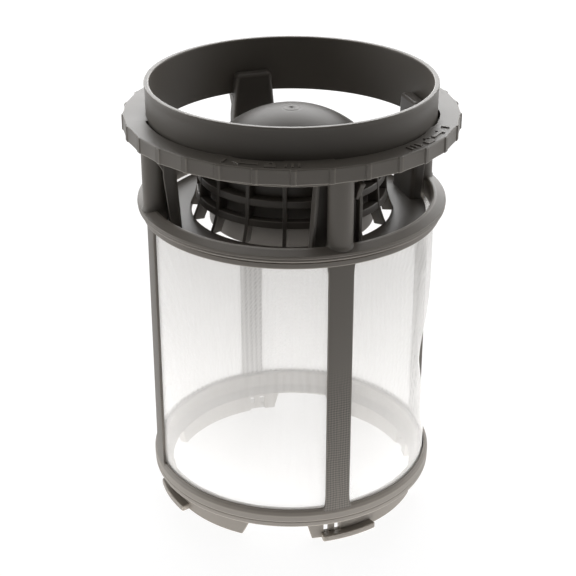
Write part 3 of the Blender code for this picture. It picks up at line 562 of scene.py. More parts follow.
# Middle ring, turned: its outline slopes down from the top face to a rounded edge, drops over
# a fine step to the parting, and turns up into a rebate for the band, with a lip inside it.
def makeMiddleRing(material):
    shape = ringShape
    top, parting = levels["ringTop"], levels["parting"] + shape["gap"]
    slope, roof, lipFoot = top - shape["slope"], top - shape["roof"], parting - shape["lipLength"]
    inner, outer, lip, rebate = shape["inner"], shape["outer"], shape["lip"], shape["rebate"]
    step = outer - shape["step"]
    line = step - shape["line"]
    corners = [
        (inner + shape["innerSlope"], top), (shape["crown"], top - 0.1),      # top face
        (outer - 0.1, slope - 0.1), (outer, slope - 0.95),                    # upper edge
        (line, slope - 1.1), (line, slope - 1.3), (step, slope - 1.45),       # fine line
        (step, parting + 0.5), (step - 0.5, parting),                         # outer face
        (rebate, parting), (rebate, roof),                                    # room for the band
        (lip, roof), (lip, lipFoot), (inner, lipFoot),                        # lip inside it
        (inner, top - 0.7),
    ]
    cuts = [0.35, 0.3, 0.15, 0.15, 0.06, 0.06, 0.12, 0.2, 0.12, 0.1, 0.2, 0.2, 0.15, 0.15, 0.4]
    piece = lathe("middleRing", corners, cuts, segments=288)
    return finishPiece(piece, "upper_frame", material)


seatShape = {"drop": 1.7, "slimmer": 0.3, "back": 46.2, "tail": 2.0, "below": 0.5,
             "ledgeInner": 39.0, "ledgeOuter": 42.9, "ledgeHeight": 1.6, "ledgeSlope": 0.8,
             "ledgeHalf": 3.0}


# Seats: a half-round pilaster behind each post, inside the ring, with a small ledge that the
# strainer's shelf rests on.
def makeSeats(material):
    shape = seatShape
    seat = levels["shelfTop"] - shape["drop"]
    turn = np.radians(np.linspace(0.0, 180.0, 15))
    radius = postShape["radius"] - shape["slimmer"]
    outline = [(radius * math.cos(t), postShape["pitchRadius"] - radius * math.sin(t)) for t in turn]
    outline += [(-radius, shape["back"]), (radius, shape["back"])]
    pilasters = block("pilasters", outline, 0.05, seat - shape["tail"],
                      levels["ringTop"] - shape["below"], 0.3, seenFromAbove, quarterTurns)
    tip, root, low = shape["ledgeInner"], shape["ledgeOuter"], seat - shape["ledgeHeight"]
    side = [(root, low), (tip + shape["ledgeSlope"], low), (tip, seat - shape["ledgeSlope"]), (tip, seat),
            (root, seat)]
    ledges = block("ledges", side, 0.2, -shape["ledgeHalf"], shape["ledgeHalf"], 0.25, seenFromSide,
                   quarterTurns)
    for piece in (pilasters, ledges):
        finishPiece(piece, "upper_frame", material)


# Signs on the flange's top face: an arrow that shows the way to turn, a padlock, shut on the
# locking side and open on the other, three ticks and a bar. Steps are degrees from the bar.
signShape = {"height": 0.34, "sink": 0.3, "radius": 51.0, "scale": 1.25, "edge": 0.1,
             "lockAzimuth": -41.5, "freeAzimuth": 50.5, "arrowStep": 7.5, "padlockStep": 16.0,
             "tickStep": 21.0, "tickPitch": 2.2, "ticks": 3, "bodyLift": -0.1,
             "shackleLift": 0.15, "shackleAside": 1.25}


def signOutlines():  # the shackle is a half ring between two arcs
    arrow = [(-3.3, 0.0), (-1.2, 1.35), (-1.2, 0.5), (3.0, 0.5), (3.0, -0.5), (-1.2, -0.5), (-1.2, -1.35)]
    body = [(-1.35, -1.5), (1.35, -1.5), (1.35, 0.35), (-1.35, 0.35)]
    tick = [(-0.3, -1.1), (0.3, -1.1), (0.3, 1.1), (-0.3, 1.1)]
    bow = [(math.cos(t), math.sin(t)) for t in np.linspace(0.0, math.pi, 9)]
    shackle = [(0.95 * x, 0.2 + 1.25 * y) for x, y in bow] + [(0.5 * x, 0.2 + 0.8 * y)
                                                              for x, y in reversed(bow)]
    return arrow, body, tick, shackle


def makeSigns(material):
    shape = signShape
    top = levels["flangeTop"]
    arrow, body, tick, shackle = signOutlines()

    def sign(name, outline, azimuth, flip=1.0, lift=0.0, aside=0.0):
        size = shape["scale"]
        moved = [((x * flip + aside) * size, (y + lift) * size) for x, y in outline]

        def onTop(x, y, w):  # x runs round the flange and y towards the collar
            return place(azimuth + np.degrees(x / shape["radius"]), shape["radius"] - y, w)

        piece = block(name, moved, 0.12, top - shape["sink"], top + shape["height"], shape["edge"], onTop)
        finishPiece(piece, "upper_frame", material)

    sides = (("Lock", shape["lockAzimuth"], 1.0, 0.0),
             ("Free", shape["freeAzimuth"], -1.0, shape["shackleAside"]))
    for side, azimuth, flip, aside in sides:
        sign("arrow" + side, arrow, azimuth + shape["arrowStep"] * flip, flip)
        sign("padlock" + side, body, azimuth + shape["padlockStep"] * flip, 1.0, shape["bodyLift"])
        sign("shackle" + side, shackle, azimuth + shape["padlockStep"] * flip, 1.0, shape["shackleLift"],
             aside)
        for number in range(shape["ticks"]):
            step = shape["tickStep"] + shape["tickPitch"] * number
            sign("tick%s%d" % (side, number), tick, azimuth + step * flip)
        sign("bar" + side, tick, azimuth, flip)


# Basket frame: band, ribs, bottom ring and notched foot

basketShape = {"inner": 47.3, "band": 2.0, "recess": 0.45, "recessDrop": 0.2, "bandTail": 0.25,
               "ribWidth": 8.3, "rib": 0.95, "ribEdge": 0.3, "setback": 0.1,
               "sinkFoot": 1.5, "sinkTop": 0.6,
               "cornerHeight": 4.5, "cornerWidth": 0.8}


# Band, turned: a plain strip under the parting, with a thinner neck that rises into the ring.
def makeBand(material):
    shape = basketShape
    inner, outer = shape["inner"], shape["inner"] + shape["band"]
    top, foot = levels["clothTop"], levels["bandFoot"] - shape["bandTail"]
    neck, step = outer - shape["recess"], levels["parting"] - shape["recessDrop"]
    corners = [(inner, top), (neck, top), (neck, step), (outer, step - 0.2), (outer, foot), (inner, foot)]
    piece = lathe("band", corners, [0.2, 0.1, 0.05, 0.15, 0.45, 0.2], segments=288)
    return finishPiece(piece, "basket_frame", material)


# Ribs: curved plates with rounded edges. The half width over the height flares out at both
# ends on a quarter circle. Each row of the grid goes round the section: one edge, the front,
# the other edge and the back.
def makeRibs(material):
    shape = basketShape
    inner = shape["inner"] + shape["setback"]
    outer = inner + shape["rib"]
    low, high = levels["meshFoot"] - shape["sinkFoot"], levels["bandFoot"] + shape["sinkTop"]
    t = np.linspace(0.0, 1.0, 12)
    heights = np.concatenate([[low], levels["meshFoot"] + shape["cornerHeight"] * t,
                              np.linspace(0.1, 0.9, 9) * (high - low) + low,
                              levels["bandFoot"] - shape["cornerHeight"] * t[::-1], [high]])
    near = np.minimum(heights - levels["meshFoot"], levels["bandFoot"] - heights)
    share = np.clip(1 - near / shape["cornerHeight"], 0.0, 1.0)
    half = shape["ribWidth"] / 2 + shape["cornerWidth"] * (1 - np.sqrt(1 - share ** 2 * 0.999))
    edge, turn = shape["ribEdge"], np.linspace(0.0, math.pi / 2, 5)
    arcRadius, arcInset = outer - edge * (1 - np.sin(turn)), edge * (1 - np.cos(turn))
    arcWearAndHighlight = np.sin(2 * turn)
    front, back = np.linspace(0.75, -0.75, 7), np.linspace(-1.0, 1.0, 5)
    radii = np.concatenate([arcRadius, np.full(7, outer), arcRadius[::-1], np.full(5, inner)])
    insets = np.concatenate([arcInset, np.full(7, edge * 1.3), arcInset[::-1], np.full(5, 0.05)])
    across = np.concatenate([np.ones(5), front, -np.ones(5), back])
    wornAndLit = np.concatenate([arcWearAndHighlight, np.zeros(7), arcWearAndHighlight[::-1], np.zeros(5)])
    azimuth = np.degrees((half[:, None] - insets) * across / outer)
    points = place(azimuth, radii[None], heights[:, None])
    piece = gridMesh("ribs", turnedCopies(points, quarterTurns), wornAndLit[None], capped=True)
    return finishPiece(piece, "basket_frame", material)


bottomShape = {"bead": 48.75, "groove": 0.16, "waist": 47.6, "skirt": 44.4, "skirtWall": 2.5,
               "lip": 46.4, "lipInner": 44.7, "slot": 4.2}


# Bottom ring, turned: its outline swells to a bead with a fine groove, draws in to the skirt
# below and comes back up inside, past a slot that holds the cloth's foot.
def makeBottomRing(material):
    shape = bottomShape
    top, foot = levels["meshFoot"], levels["ringFoot"]
    inner, bead, skirt = basketShape["inner"], shape["bead"], shape["skirt"]
    groove, slotFoot = bead - shape["groove"], top - shape["slot"]
    corners = [
        (inner, top), (inner + 0.45, top - 0.12), (bead - 0.4, top - 1.0),    # top edge
        (bead, top - 2.0), (bead, top - 3.9),                                 # bead
        (groove, top - 4.1), (groove, top - 4.3),                             # fine groove
        (bead - 0.02, top - 4.5), (bead - 0.1, top - 6.0),                    # lower band
        (shape["waist"], foot + 1.65), (skirt + 0.9, foot + 0.05),            # in to the skirt
        (skirt - 1.2, foot - 0.6), (skirt - shape["skirtWall"] + 0.4, foot + 0.4),
        (shape["lipInner"], foot + 2.6), (shape["lipInner"], top - 0.8),      # inside
        (shape["lip"], top - 0.5), (shape["lip"], slotFoot), (inner, slotFoot),    # the cloth's slot
    ]
    cuts = [0.1, 0.2, 0.5, 0.6, 0.2, 0.08, 0.08, 0.2, 0.3, 0.3, 0.3, 0.2, 0.2, 0.6, 0.5, 0.2,
            0.15, 0.15]
    piece = lathe("bottomRing", corners, cuts, segments=288)
    return finishPiece(piece, "basket_frame", material)


footShape = {"notchFoot": (-40.5, -9.5), "notchTop": (-36.5, -12.0), "overlap": 0.5,
             "lugRadius": 47.2, "lugHeight": 2.2, "lugSpan": (-5.4, 18.7), "thin": 1.3,
             "slots": ((-4.4, -2.2), (0.5, 3.3)), "slotFoot": 2.3, "slotTop": 5.6}


# Wall sectors, one in each quarter, as a grid: columns go round the section and rows along
# the azimuth. Both ends are drawn in on a quarter round and closed, and may slant.
def sector(name, low, high, inner, outer, start, end, edge, slant=(0.0, 0.0)):
    section, wornAndLit = rounded([(inner, low), (outer, low), (outer, high), (inner, high)], edge)
    centre = section.mean(axis=0)
    t = np.linspace(0.0, math.pi / 2, 4)
    endInset, endShift = edge * (1 - np.sin(t)), edge * (1 - np.cos(t))
    toDegrees = math.degrees(1.0 / outer)
    middle = np.linspace(0.0, 1.0, max(3, int((end - start) / 1.5)))[1:-1]
    azimuth = np.concatenate([start + endShift * toDegrees, start + (end - start) * middle,
                              (end - endShift * toDegrees)[::-1]])
    inset = np.concatenate([endInset, np.zeros(len(middle)), endInset[::-1]])
    out = section - centre
    out = out / np.maximum(np.linalg.norm(out, axis=1, keepdims=True), 1e-9)
    rows = section[None] - out[None] * inset[:, None, None]
    share = (rows[..., 1] - low) / (high - low)
    across = np.clip((azimuth - start) / (end - start), 0, 1)[:, None]
    lean = share * (slant[0] * (1 - across) + slant[1] * across)
    points = place(azimuth[:, None] + lean, rows[..., 0], rows[..., 1])
    endWearAndHighlight = np.concatenate([np.sin(2 * t), np.zeros(len(middle)), np.sin(2 * t)[::-1]])
    wearAndHighlight = np.maximum(endWearAndHighlight[:, None] * 0.8, wornAndLit[None] * 0.8)
    return gridMesh(name, turnedCopies(points, quarterTurns), wearAndHighlight, capped=True)


# Foot: the skirt wall runs from one notch to the next, with slanted ends. Where it has its
# slots it is a sill, a head and a thin fin between them. The bayonet ledges stand out below.
def makeFoot(material):
    shape, ring = footShape, bottomShape
    inner, outer = ring["skirt"] - ring["skirtWall"], ring["skirt"]
    thin, top = outer - shape["thin"], levels["ringFoot"] + shape["overlap"]
    startFoot, startTop = shape["notchFoot"][1], shape["notchTop"][1]
    endFoot, endTop = shape["notchFoot"][0] + 90.0, shape["notchTop"][0] + 90.0
    (slotA, slotB), (slotC, slotD) = shape["slots"]
    sillFrom, sillTo = slotA - 1, slotD + 1
    walls = (    # foot, top, inner and outer radius, first and last azimuth, edge and slant
        ("skirtLeft", 0.0, top, inner, outer, startFoot, slotA, 0.25, (startTop - startFoot, 0.0)),
        ("skirtFin", 0.0, top, thin, outer, slotB, slotC, 0.2),
        ("skirtRight", 0.0, top, inner, outer, slotD, endFoot, 0.25, (0.0, endTop - endFoot)),
        ("skirtSill", 0.0, shape["slotFoot"], thin, outer - 0.1, sillFrom, sillTo, 0.1),
        ("skirtHead", shape["slotTop"], top, inner + 0.1, outer - 0.1, sillFrom, sillTo, 0.1),
        ("bayonetLedges", 0.0, shape["lugHeight"], outer - 1.0, shape["lugRadius"], *shape["lugSpan"], 0.6),
    )
    for wall in walls:
        finishPiece(sector(*wall), "basket_frame", material)


# Filter cloth

# The cloth is a tube whose radius is its own radius, plus a bulge |sin 2a| in each panel,
# plus slow ripples, plus one dent, cosine across and Gaussian upwards. The bulge and the
# ripples die away towards both ends. Its UV map is the cloth laid flat, in metres.
def makeCloth(material):
    shape = clothShape
    azimuth = np.linspace(0.0, 360.0, 480, endpoint=False)[None]
    foot, top = levels["clothFoot"], levels["clothTop"]
    height = np.linspace(foot, top, 160)[:, None]
    near = np.minimum(height - levels["meshFoot"], levels["bandFoot"] - height)
    free = np.clip(near / shape["ends"], 0, 1)
    free = free * free * (3 - 2 * free)
    panel = np.abs(np.sin(2 * np.radians(azimuth))) ** 0.8
    ripple = sum(np.sin(np.radians(azimuth * count + height * slant)) for count, slant in shape["waves"])
    across = np.clip((azimuth - shape["dentAzimuth"]) / shape["dentWidth"], -1, 1)
    dent = np.cos(across * math.pi / 2) ** 1.2
    dent = dent * np.exp(-((height - shape["dentLevel"]) / shape["dentHeight"]) ** 2)
    bulge = shape["panelBulge"] + 0.1 * np.sin(np.radians(height * 3.0 + azimuth))
    radius = shape["radius"] - shape["slack"] + free * panel * (bulge + shape["ripple"] * ripple)
    radius = radius + shape["dent"] * dent
    piece = gridMesh("filterCloth", place(azimuth, radius, height))
    mesh = piece.data
    corner = np.empty(len(mesh.loops), int)
    mesh.loops.foreach_get("vertex_index", corner)
    column, row = corner % azimuth.size, corner // azimuth.size
    wrap = (column.reshape(-1, 4) == 0) & (column.reshape(-1, 4).max(axis=1) > azimuth.size // 2)[:, None]
    around = (column + azimuth.size * wrap.reshape(-1)) / azimuth.size * 2 * math.pi * shape["radius"] * mm
    layer = mesh.uv_layers.new(name="cloth")
    uv = np.stack([around, row * (top - foot) / (height.size - 1) * mm], axis=1)
    layer.data.foreach_set("uv", uv.astype(np.float32).reshape(-1))
    finishPiece(piece, "mesh_sleeve", material)
    return piece


# Coarse strainer: dome, cup, cage, shelf and snap arms

domeShape = {"sphere": 34.3, "coneStart": 22.5, "rim": 0.9, "edgeRadius": 30.5, "wall": 1.5,
             "cup": 27.2, "cupWall": 1.3, "cupDrop": 3.5, "gateRing": 2.9, "gateDepth": 0.12,
             "tip": 0.35}


# Dome: a sphere's cap that runs on as a cone to the rim on top of the cage, then the
# underside, the cup's wall and back to the axis. A rough gate mark sits at the top.
def makeDome(material):
    shape = domeShape
    top, foot = levels["strainerTop"], levels["cageTop"]
    sphere, touch = shape["sphere"], shape["coneStart"]
    sphereZ = top - sphere
    slope = touch / math.sqrt(sphere ** 2 - touch ** 2)
    lean = math.sqrt(1 + slope ** 2)

    def surface(radius, inset):  # height of the dome, or of a surface inside it
        radius = np.asarray(radius, float)
        edge = touch * (sphere - inset) / sphere
        onSphere = sphereZ + np.sqrt(np.maximum((sphere - inset) ** 2 - radius ** 2, 0.0))
        onCone = sphereZ + math.sqrt(sphere ** 2 - touch ** 2) - slope * (radius - touch) - inset * lean
        return np.where(radius <= edge, onSphere, onCone)

    radius = np.concatenate([np.linspace(0.0, 5.5, 40), np.linspace(5.8, touch, 24)])
    mark = shape["gateDepth"] * np.exp(-((radius - shape["gateRing"]) / 0.4) ** 2)
    mark += shape["tip"] * np.exp(-(radius / 0.7) ** 2) - 0.10 * np.exp(-((radius - 1.2) / 0.35) ** 2)
    cap = np.stack([radius, np.minimum(surface(radius, 0.0) - mark, top)], axis=1)
    coneEnd = touch + (float(surface(touch, 0.0)) - foot - 0.25) / slope
    coneEnd = min(coneEnd, shape["edgeRadius"] - shape["rim"])
    cone = np.linspace(touch, coneEnd, 10)[1:]
    cone = np.stack([cone, surface(cone, 0.0)], axis=1)
    edge = shape["edgeRadius"] - 0.05
    cup, cupFoot = shape["cup"], levels["shelfTop"] - shape["cupDrop"]
    cupInner = cup - shape["cupWall"]
    rimTop = float(surface(coneEnd, 0.0)) - 0.1
    underHeights = surface([cup + 1.0, cup + 0.4, cup + 0.1], shape["wall"])
    inside = np.array([
        (coneEnd + 0.1, rimTop), (edge - 0.35, rimTop - 0.02), (edge - 0.1, rimTop - 0.12),    # rim
        (edge, rimTop - 0.35), (edge, foot - 0.2), (edge - 0.1, foot - 0.35), (edge - 0.25, foot - 0.4),
        (edge - 1.2, foot - 0.4), (edge - 1.4, foot - 0.3), (edge - 1.5, foot - 0.1),
        (cup + 1.0, underHeights[0]), (cup + 0.4, underHeights[1]),          # under the dome
        (cup + 0.05, underHeights[2] - 0.4), (cup, foot - 3.0),              # cup, from outside
        (cup, cupFoot + 0.5), (cup - 0.05, cupFoot + 0.2), (cup - 0.25, cupFoot), (cup - 1.0, cupFoot),
        (cupInner + 0.05, cupFoot + 0.2), (cupInner, cupFoot + 0.5), (cupInner, foot - 3.0),
    ])
    ceiling = np.linspace(cupInner, 0.0, 12)
    under = np.stack([ceiling, surface(ceiling, shape["wall"])], axis=1)
    line = np.concatenate([cap, cone, inside, under])
    # Painted wear and highlight: a pale ring round the gate mark and pale edges on the rim and the cup's
    # foot.
    wornAndLit = np.concatenate([0.5 * np.exp(-((cap[:, 0] - 2.2) / 0.5) ** 2), np.zeros(len(cone)),
                           np.array([0.3, 0.7, 0.9, 0.5, 0.3, 0.6, 0.3] + [0.0] * 7
                                    + [0.3, 0.8, 0.8, 0.8, 0.8, 0.3, 0.0]),
                           np.zeros(len(under))])
    piece = latheFromAxis("domeAndCup", line, wornAndLit)
    return finishPiece(piece, "coarse_strainer", material)


cageShape = {"topRadius": 30.5, "waistRadius": 31.3, "footRadius": 33.8, "waist": 8.0,
             "bars": 16, "barWidth": 1.4, "barInner": 27.3, "barDepth": 3.8, "barEnds": 0.4,
             "hoopInset": 0.2, "hoopHeight": 2.3, "upperDrop": 6.0, "upperInner": 26.6,
             "lowerDrop": 12.7, "lowerDepth": 3.0}


# Outer radius of the cage: a straight cone above the waist, and below it a flare that grows
# with the distance from the waist to the power 1.6.
def cageRadius(height):
    shape = cageShape
    over = np.asarray(height, float) - levels["shelfTop"]
    above = shape["waistRadius"] + (shape["topRadius"] - shape["waistRadius"]) * (
        over - shape["waist"]) / (spans["cage"] - shape["waist"])
    below = shape["waistRadius"] + (shape["footRadius"] - shape["waistRadius"]) * (
        np.clip(1 - over / shape["waist"], 0, 1) ** 1.6)
    return np.where(over >= shape["waist"], above, below)


# Cage bars: the section is a small rounded rectangle of width and depth, carried down the
# cage's curve. The hoops are turned, and a little inside the bars' outer faces.
def makeCage(material):
    shape = cageShape
    heights = np.linspace(levels["cageTop"] + shape["barEnds"], levels["shelfTop"] - shape["barEnds"], 24)
    outer = cageRadius(np.clip(heights, levels["shelfTop"], levels["cageTop"]))
    inner = np.maximum(shape["barInner"], outer - shape["barDepth"])
    half = shape["barWidth"] / 2
    section, wornAndLit = rounded([(half, 0.0), (half, 1.0), (-half, 1.0), (-half, 0.0)], 0.22, steps=4)
    depth = np.clip(section[:, 1], 0, 1)
    radius = inner[:, None] + (outer - inner)[:, None] * depth[None]
    points = place(0.0, radius, heights[:, None], section[None, :, 0])
    bars = gridMesh("cageBars", turnedCopies(points, shape["bars"]), wornAndLit[None] * (depth > 0.5), capped=True)
    finishPiece(bars, "coarse_strainer", material)
    lowerTop = float(cageRadius(levels["cageTop"] - shape["lowerDrop"])) - shape["hoopInset"]
    hoops = (("upperHoop", shape["upperDrop"], shape["upperInner"]),
             ("lowerHoop", shape["lowerDrop"], lowerTop - shape["lowerDepth"]))
    for name, drop, start in hoops:
        top = levels["cageTop"] - drop
        foot = top - shape["hoopHeight"]
        topRadius, footRadius = (float(cageRadius(level)) - shape["hoopInset"] for level in (top, foot))
        corners = [(start, top), (topRadius, top), (footRadius, foot), (start, foot)]
        hoop = lathe(name, corners, [0.2, 0.3, 0.3, 0.2], segments=192)
        finishPiece(hoop, "coarse_strainer", material)


shelfShape = {"outer": 44.4, "inner": 33.1, "thickness": 1.4, "edge": 0.25,
              "notchHalf": 4.6, "notchInner": 41.6}


# Shelf: a ring whose outer radius steps in to a straight notch face in front of each post.
# Rows go round its section: over the top from the inner edge, and back underneath.
def makeShelf(material):
    shape = shelfShape
    quarter = np.concatenate([np.linspace(-45.0, -6.8, 30), np.linspace(-6.6, 6.6, 40),
                              np.linspace(6.8, 44.2, 30)])
    azimuth = np.concatenate([quarter + 90.0 * k for k in range(quarterTurns)])
    local = (azimuth + 45.0) % 90.0 - 45.0
    straight = shape["notchInner"] / np.cos(np.radians(local))
    inNotch = np.abs(shape["outer"] * np.sin(np.radians(local))) < shape["notchHalf"]
    outer = np.where(inNotch, np.minimum(straight, shape["outer"]), shape["outer"])
    top, foot = levels["shelfTop"], levels["shelfTop"] - shape["thickness"]
    inner, edge = shape["inner"], shape["edge"]
    upper = [inner, inner + 0.1, inner + edge, outer - edge, outer - 0.08, outer]
    drop = np.array([edge, 0.07, 0.0, 0.0, 0.07, edge])
    # Painted wear and highlight on the shelf's edges, most on its outer top edge.
    wornAndLit = np.array([0.2, 0.6, 0.2, 0.2, 0.7, 0.2])
    radii = np.array([np.broadcast_to(radius, azimuth.shape) for radius in upper + upper[::-1]])
    heights = np.concatenate([top - drop, foot + drop[::-1]])
    points = place(azimuth[None], radii, heights[:, None])
    piece = gridMesh("shelf", points, np.concatenate([wornAndLit, wornAndLit[::-1]])[:, None], rowsClose=True)
    return finishPiece(piece, "coarse_strainer", material)


armShape = {
    "plate": 1.3, "wall": 1.0, "corner": 1.4, "inside": 0.45, "edge": 0.3,
    "footWidth": 16.8, "kneeWidth": 15.3, "topWidth": 12.6,
    "footRadius": 39.2, "fingerRadius": 40.3,
    "footDepth": 3.6, "kneeDepth": 4.5, "topDepth": 3.8,
    "kneeDrop": 7.4, "rise": 7.6, "topCorner": 1.3, "sink": 0.5,
    "crownIn": 0.6, "crownBack": 0.85,       # how far the top's front and back are drawn in
    "hookWidth": 1.6, "hookReach": 0.9, "hookLand": 0.8, "hookHeight": 6.3, "hookInset": 0.45,
    "gap": 0.3,              # between the hooks and the collar's foot
}


# Snap arms. Each row of the grid is the plan section at one height: a channel open towards
# the post, whose width, depth and distance go from foot to knee to top. Over the channel
# the row's inner points move out onto the mouth's line, which closes the finger, and the
# last rows are drawn in on a quarter round.
def makeArms(material):
    shape = armShape
    foot, knee = levels["shelfTop"] - shape["sink"], levels["collarFoot"] - shape["kneeDrop"]
    top = levels["collarFoot"] + shape["rise"]
    ceiling, corner = top - shape["wall"], shape["topCorner"]
    t = np.linspace(0.0, math.pi / 2, 7)
    crown = top - corner * (1 - np.sin(t))
    channel = np.concatenate([np.linspace(foot, knee, 8), np.linspace(knee, top - corner, 8)[1:],
                              [ceiling - 0.02]])
    heights = np.concatenate([channel, [ceiling], crown[crown > ceiling + 0.02]])
    closed = np.arange(len(heights)) >= len(channel)
    stops = [foot, knee, top]
    width = np.interp(heights, stops, [shape["footWidth"], shape["kneeWidth"], shape["topWidth"]])
    inner = np.interp(heights, stops, [shape["footRadius"], shape["fingerRadius"], shape["fingerRadius"]])
    depth = np.interp(heights, stops, [shape["footDepth"], shape["kneeDepth"], shape["topDepth"]])
    over = np.clip((heights - (top - corner)) / corner, 0.0, 1.0)
    drawn = corner * (1 - np.sqrt(np.maximum(1 - over ** 2, 0.0)))
    half = width / 2 - drawn
    inner, depth = inner + shape["crownIn"] * drawn, depth - shape["crownBack"] * drawn
    openCuts = np.array([shape["edge"], shape["corner"], shape["corner"], shape["edge"], 0.25,
                         shape["inside"], shape["inside"], 0.25])
    closedCuts = openCuts * np.repeat([1.0, 0.01], 4)
    rows, wornAndLit = [], []
    for w, r, d, shut in zip(half, inner, depth, closed):
        mouth, side = r + d, w - shape["wall"]
        floor = mouth - 0.01 if shut else r + shape["plate"]
        section = [(w, mouth), (w, r), (-w, r), (-w, mouth), (-side, mouth), (-side, floor),
                   (side, floor), (side, mouth)]
        line, wearAndHighlight = rounded(section, closedCuts if shut else openCuts)
        rows.append(line)
        wornAndLit.append(wearAndHighlight)
    rows = np.array(rows)
    points = place(0.0, rows[..., 1], heights[:, None], rows[..., 0])
    # Painted wear and highlight on the arms' edges and across their rounded tops.
    edgeWearAndHighlight = np.maximum(np.array(wornAndLit) * 0.8, (np.sin(math.pi * over) * 0.8)[:, None])
    arms = gridMesh("snapArms", turnedCopies(points, quarterTurns), edgeWearAndHighlight, capped=True)
    return finishPiece(arms, "coarse_strainer", material)


# Hooks: one on each arm, a plate with a short land that catches under the collar's foot. Its
# outer edge runs down from there on the curve (1-s)^2 A + 2s(1-s) B + s^2 C.
def makeHooks(material):
    shape = armShape
    kneeOuter, root = shape["fingerRadius"] + shape["kneeDepth"], shape["fingerRadius"] + shape["plate"] + 0.5
    top = levels["collarFoot"] - shape["gap"]
    foot = top - shape["hookHeight"]
    start = np.array([collarShape["radius"] + shape["hookReach"], top - shape["hookLand"]])
    bend = np.array([kneeOuter + 0.5, (top + foot) / 2])
    end = np.array([kneeOuter - 0.5, foot])
    s = np.linspace(0.0, 1.0, 12)[:, None]
    flare = (1 - s) ** 2 * start + 2 * s * (1 - s) * bend + s ** 2 * end
    hook = [(root, top), (start[0], top)] + [tuple(point) for point in flare] + [(root, foot)]
    cuts = [0.05, 0.3, 0.2] + [0.03] * 11 + [0.05]
    centre = (shape["kneeWidth"] - shape["hookWidth"]) / 2 - shape["hookInset"]
    half = shape["hookWidth"] / 2
    hooks = block("hooks", hook, cuts, centre - half, centre + half, 0.3, seenFromSide, quarterTurns)
    return finishPiece(hooks, "coarse_strainer", material)


# Camera, light and floor

cameraShape = {
    "azimuth": -18.45, "distance": 438.4, "aside": -1.17, "height": 288.9, "pitch": 26.295,
    "focalPixels": 1432.7, "imagePixels": 576, "sensor": 36.0,
}


def makeCamera():  # it looks along its azimuth, pitched down, a little aside of the axis
    shape = cameraShape
    data = bpy.data.cameras.new("camera")
    data.sensor_width = shape["sensor"]
    data.lens = shape["focalPixels"] * shape["sensor"] / shape["imagePixels"]
    data.clip_start, data.clip_end = 0.01, 20.0
    camera = bpy.data.objects.new("camera", data)
    bpy.context.scene.collection.objects.link(camera)
    spot = place(shape["azimuth"], shape["distance"], shape["height"], shape["aside"]) * mm
    camera.location = spot.tolist()
    camera.rotation_euler = (math.radians(90.0 - shape["pitch"]), 0.0, math.radians(shape["azimuth"]))
    bpy.context.scene.camera = camera


lightPlan = {
    "around": ((0.0, 0.9), (0.35, 1.0), (0.50, 1.0), (0.66, 0.08), (0.90, 0.03)),
    "overhead": 0.25, "dimStart": 0.15, "dimReach": 0.5,           # share of it straight above
    "ceiling": 0.24, "ceilingStart": 0.35, "ceilingReach": 0.4,    # added above, all round
    "floorReach": 3.0, "floorDrop": 0.2,
    "floorWhite": 0.80, "floorFill": 0.45,                         # as the camera sees it
    "board": 0.9, "boardFar": 0.15, "farStart": 0.12, "farEnd": 0.34,
    "floorGlow": 3.1, "glowStart": 0.06, "glowEnd": 0.32,
    "aim": 70.0,                                                   # height the lamps point at
    "left": {"azimuth": -122.0, "elevation": 12.0, "distance": 0.9, "size": 0.45, "power": 1.9},
    "right": {"azimuth": 92.0, "elevation": 12.0, "distance": 0.9, "size": 0.45, "power": 1.6},
    "behind": {"azimuth": 162.0, "elevation": 26.0, "distance": 1.0, "size": 0.95, "power": 11.5},
}


# A square lamp on a sphere about the aim point, turned to face it.
def makeLight(name):
    plan = lightPlan[name]
    data = bpy.data.lights.new(name, "AREA")
    data.shape, data.size, data.energy = "SQUARE", plan["size"], plan["power"]
    lamp = bpy.data.objects.new(name, data)
    bpy.context.scene.collection.objects.link(lamp)
    level, reach = math.radians(plan["elevation"]), plan["distance"] / mm
    spot = place(plan["azimuth"], reach * math.cos(level), lightPlan["aim"] + reach * math.sin(level)) * mm
    lamp.location = spot.tolist()
    sight = np.array([0.0, 0.0, lightPlan["aim"] * mm]) - spot
    yaw, drop = math.atan2(sight[1], sight[0]), math.atan2(-sight[2], math.hypot(sight[0], sight[1]))
    lamp.rotation_euler = (math.pi / 2 - drop, 0.0, yaw - math.pi / 2)


# Whether a ray is of any of the named kinds: 1 if it is, otherwise 0.
def rayKind(make, *kinds):
    found = make.node("ShaderNodeLightPath", output=kinds[0])
    for kind in kinds[1:]:
        found = make.math("MAXIMUM", found, make.node("ShaderNodeLightPath", output=kind))
    return found


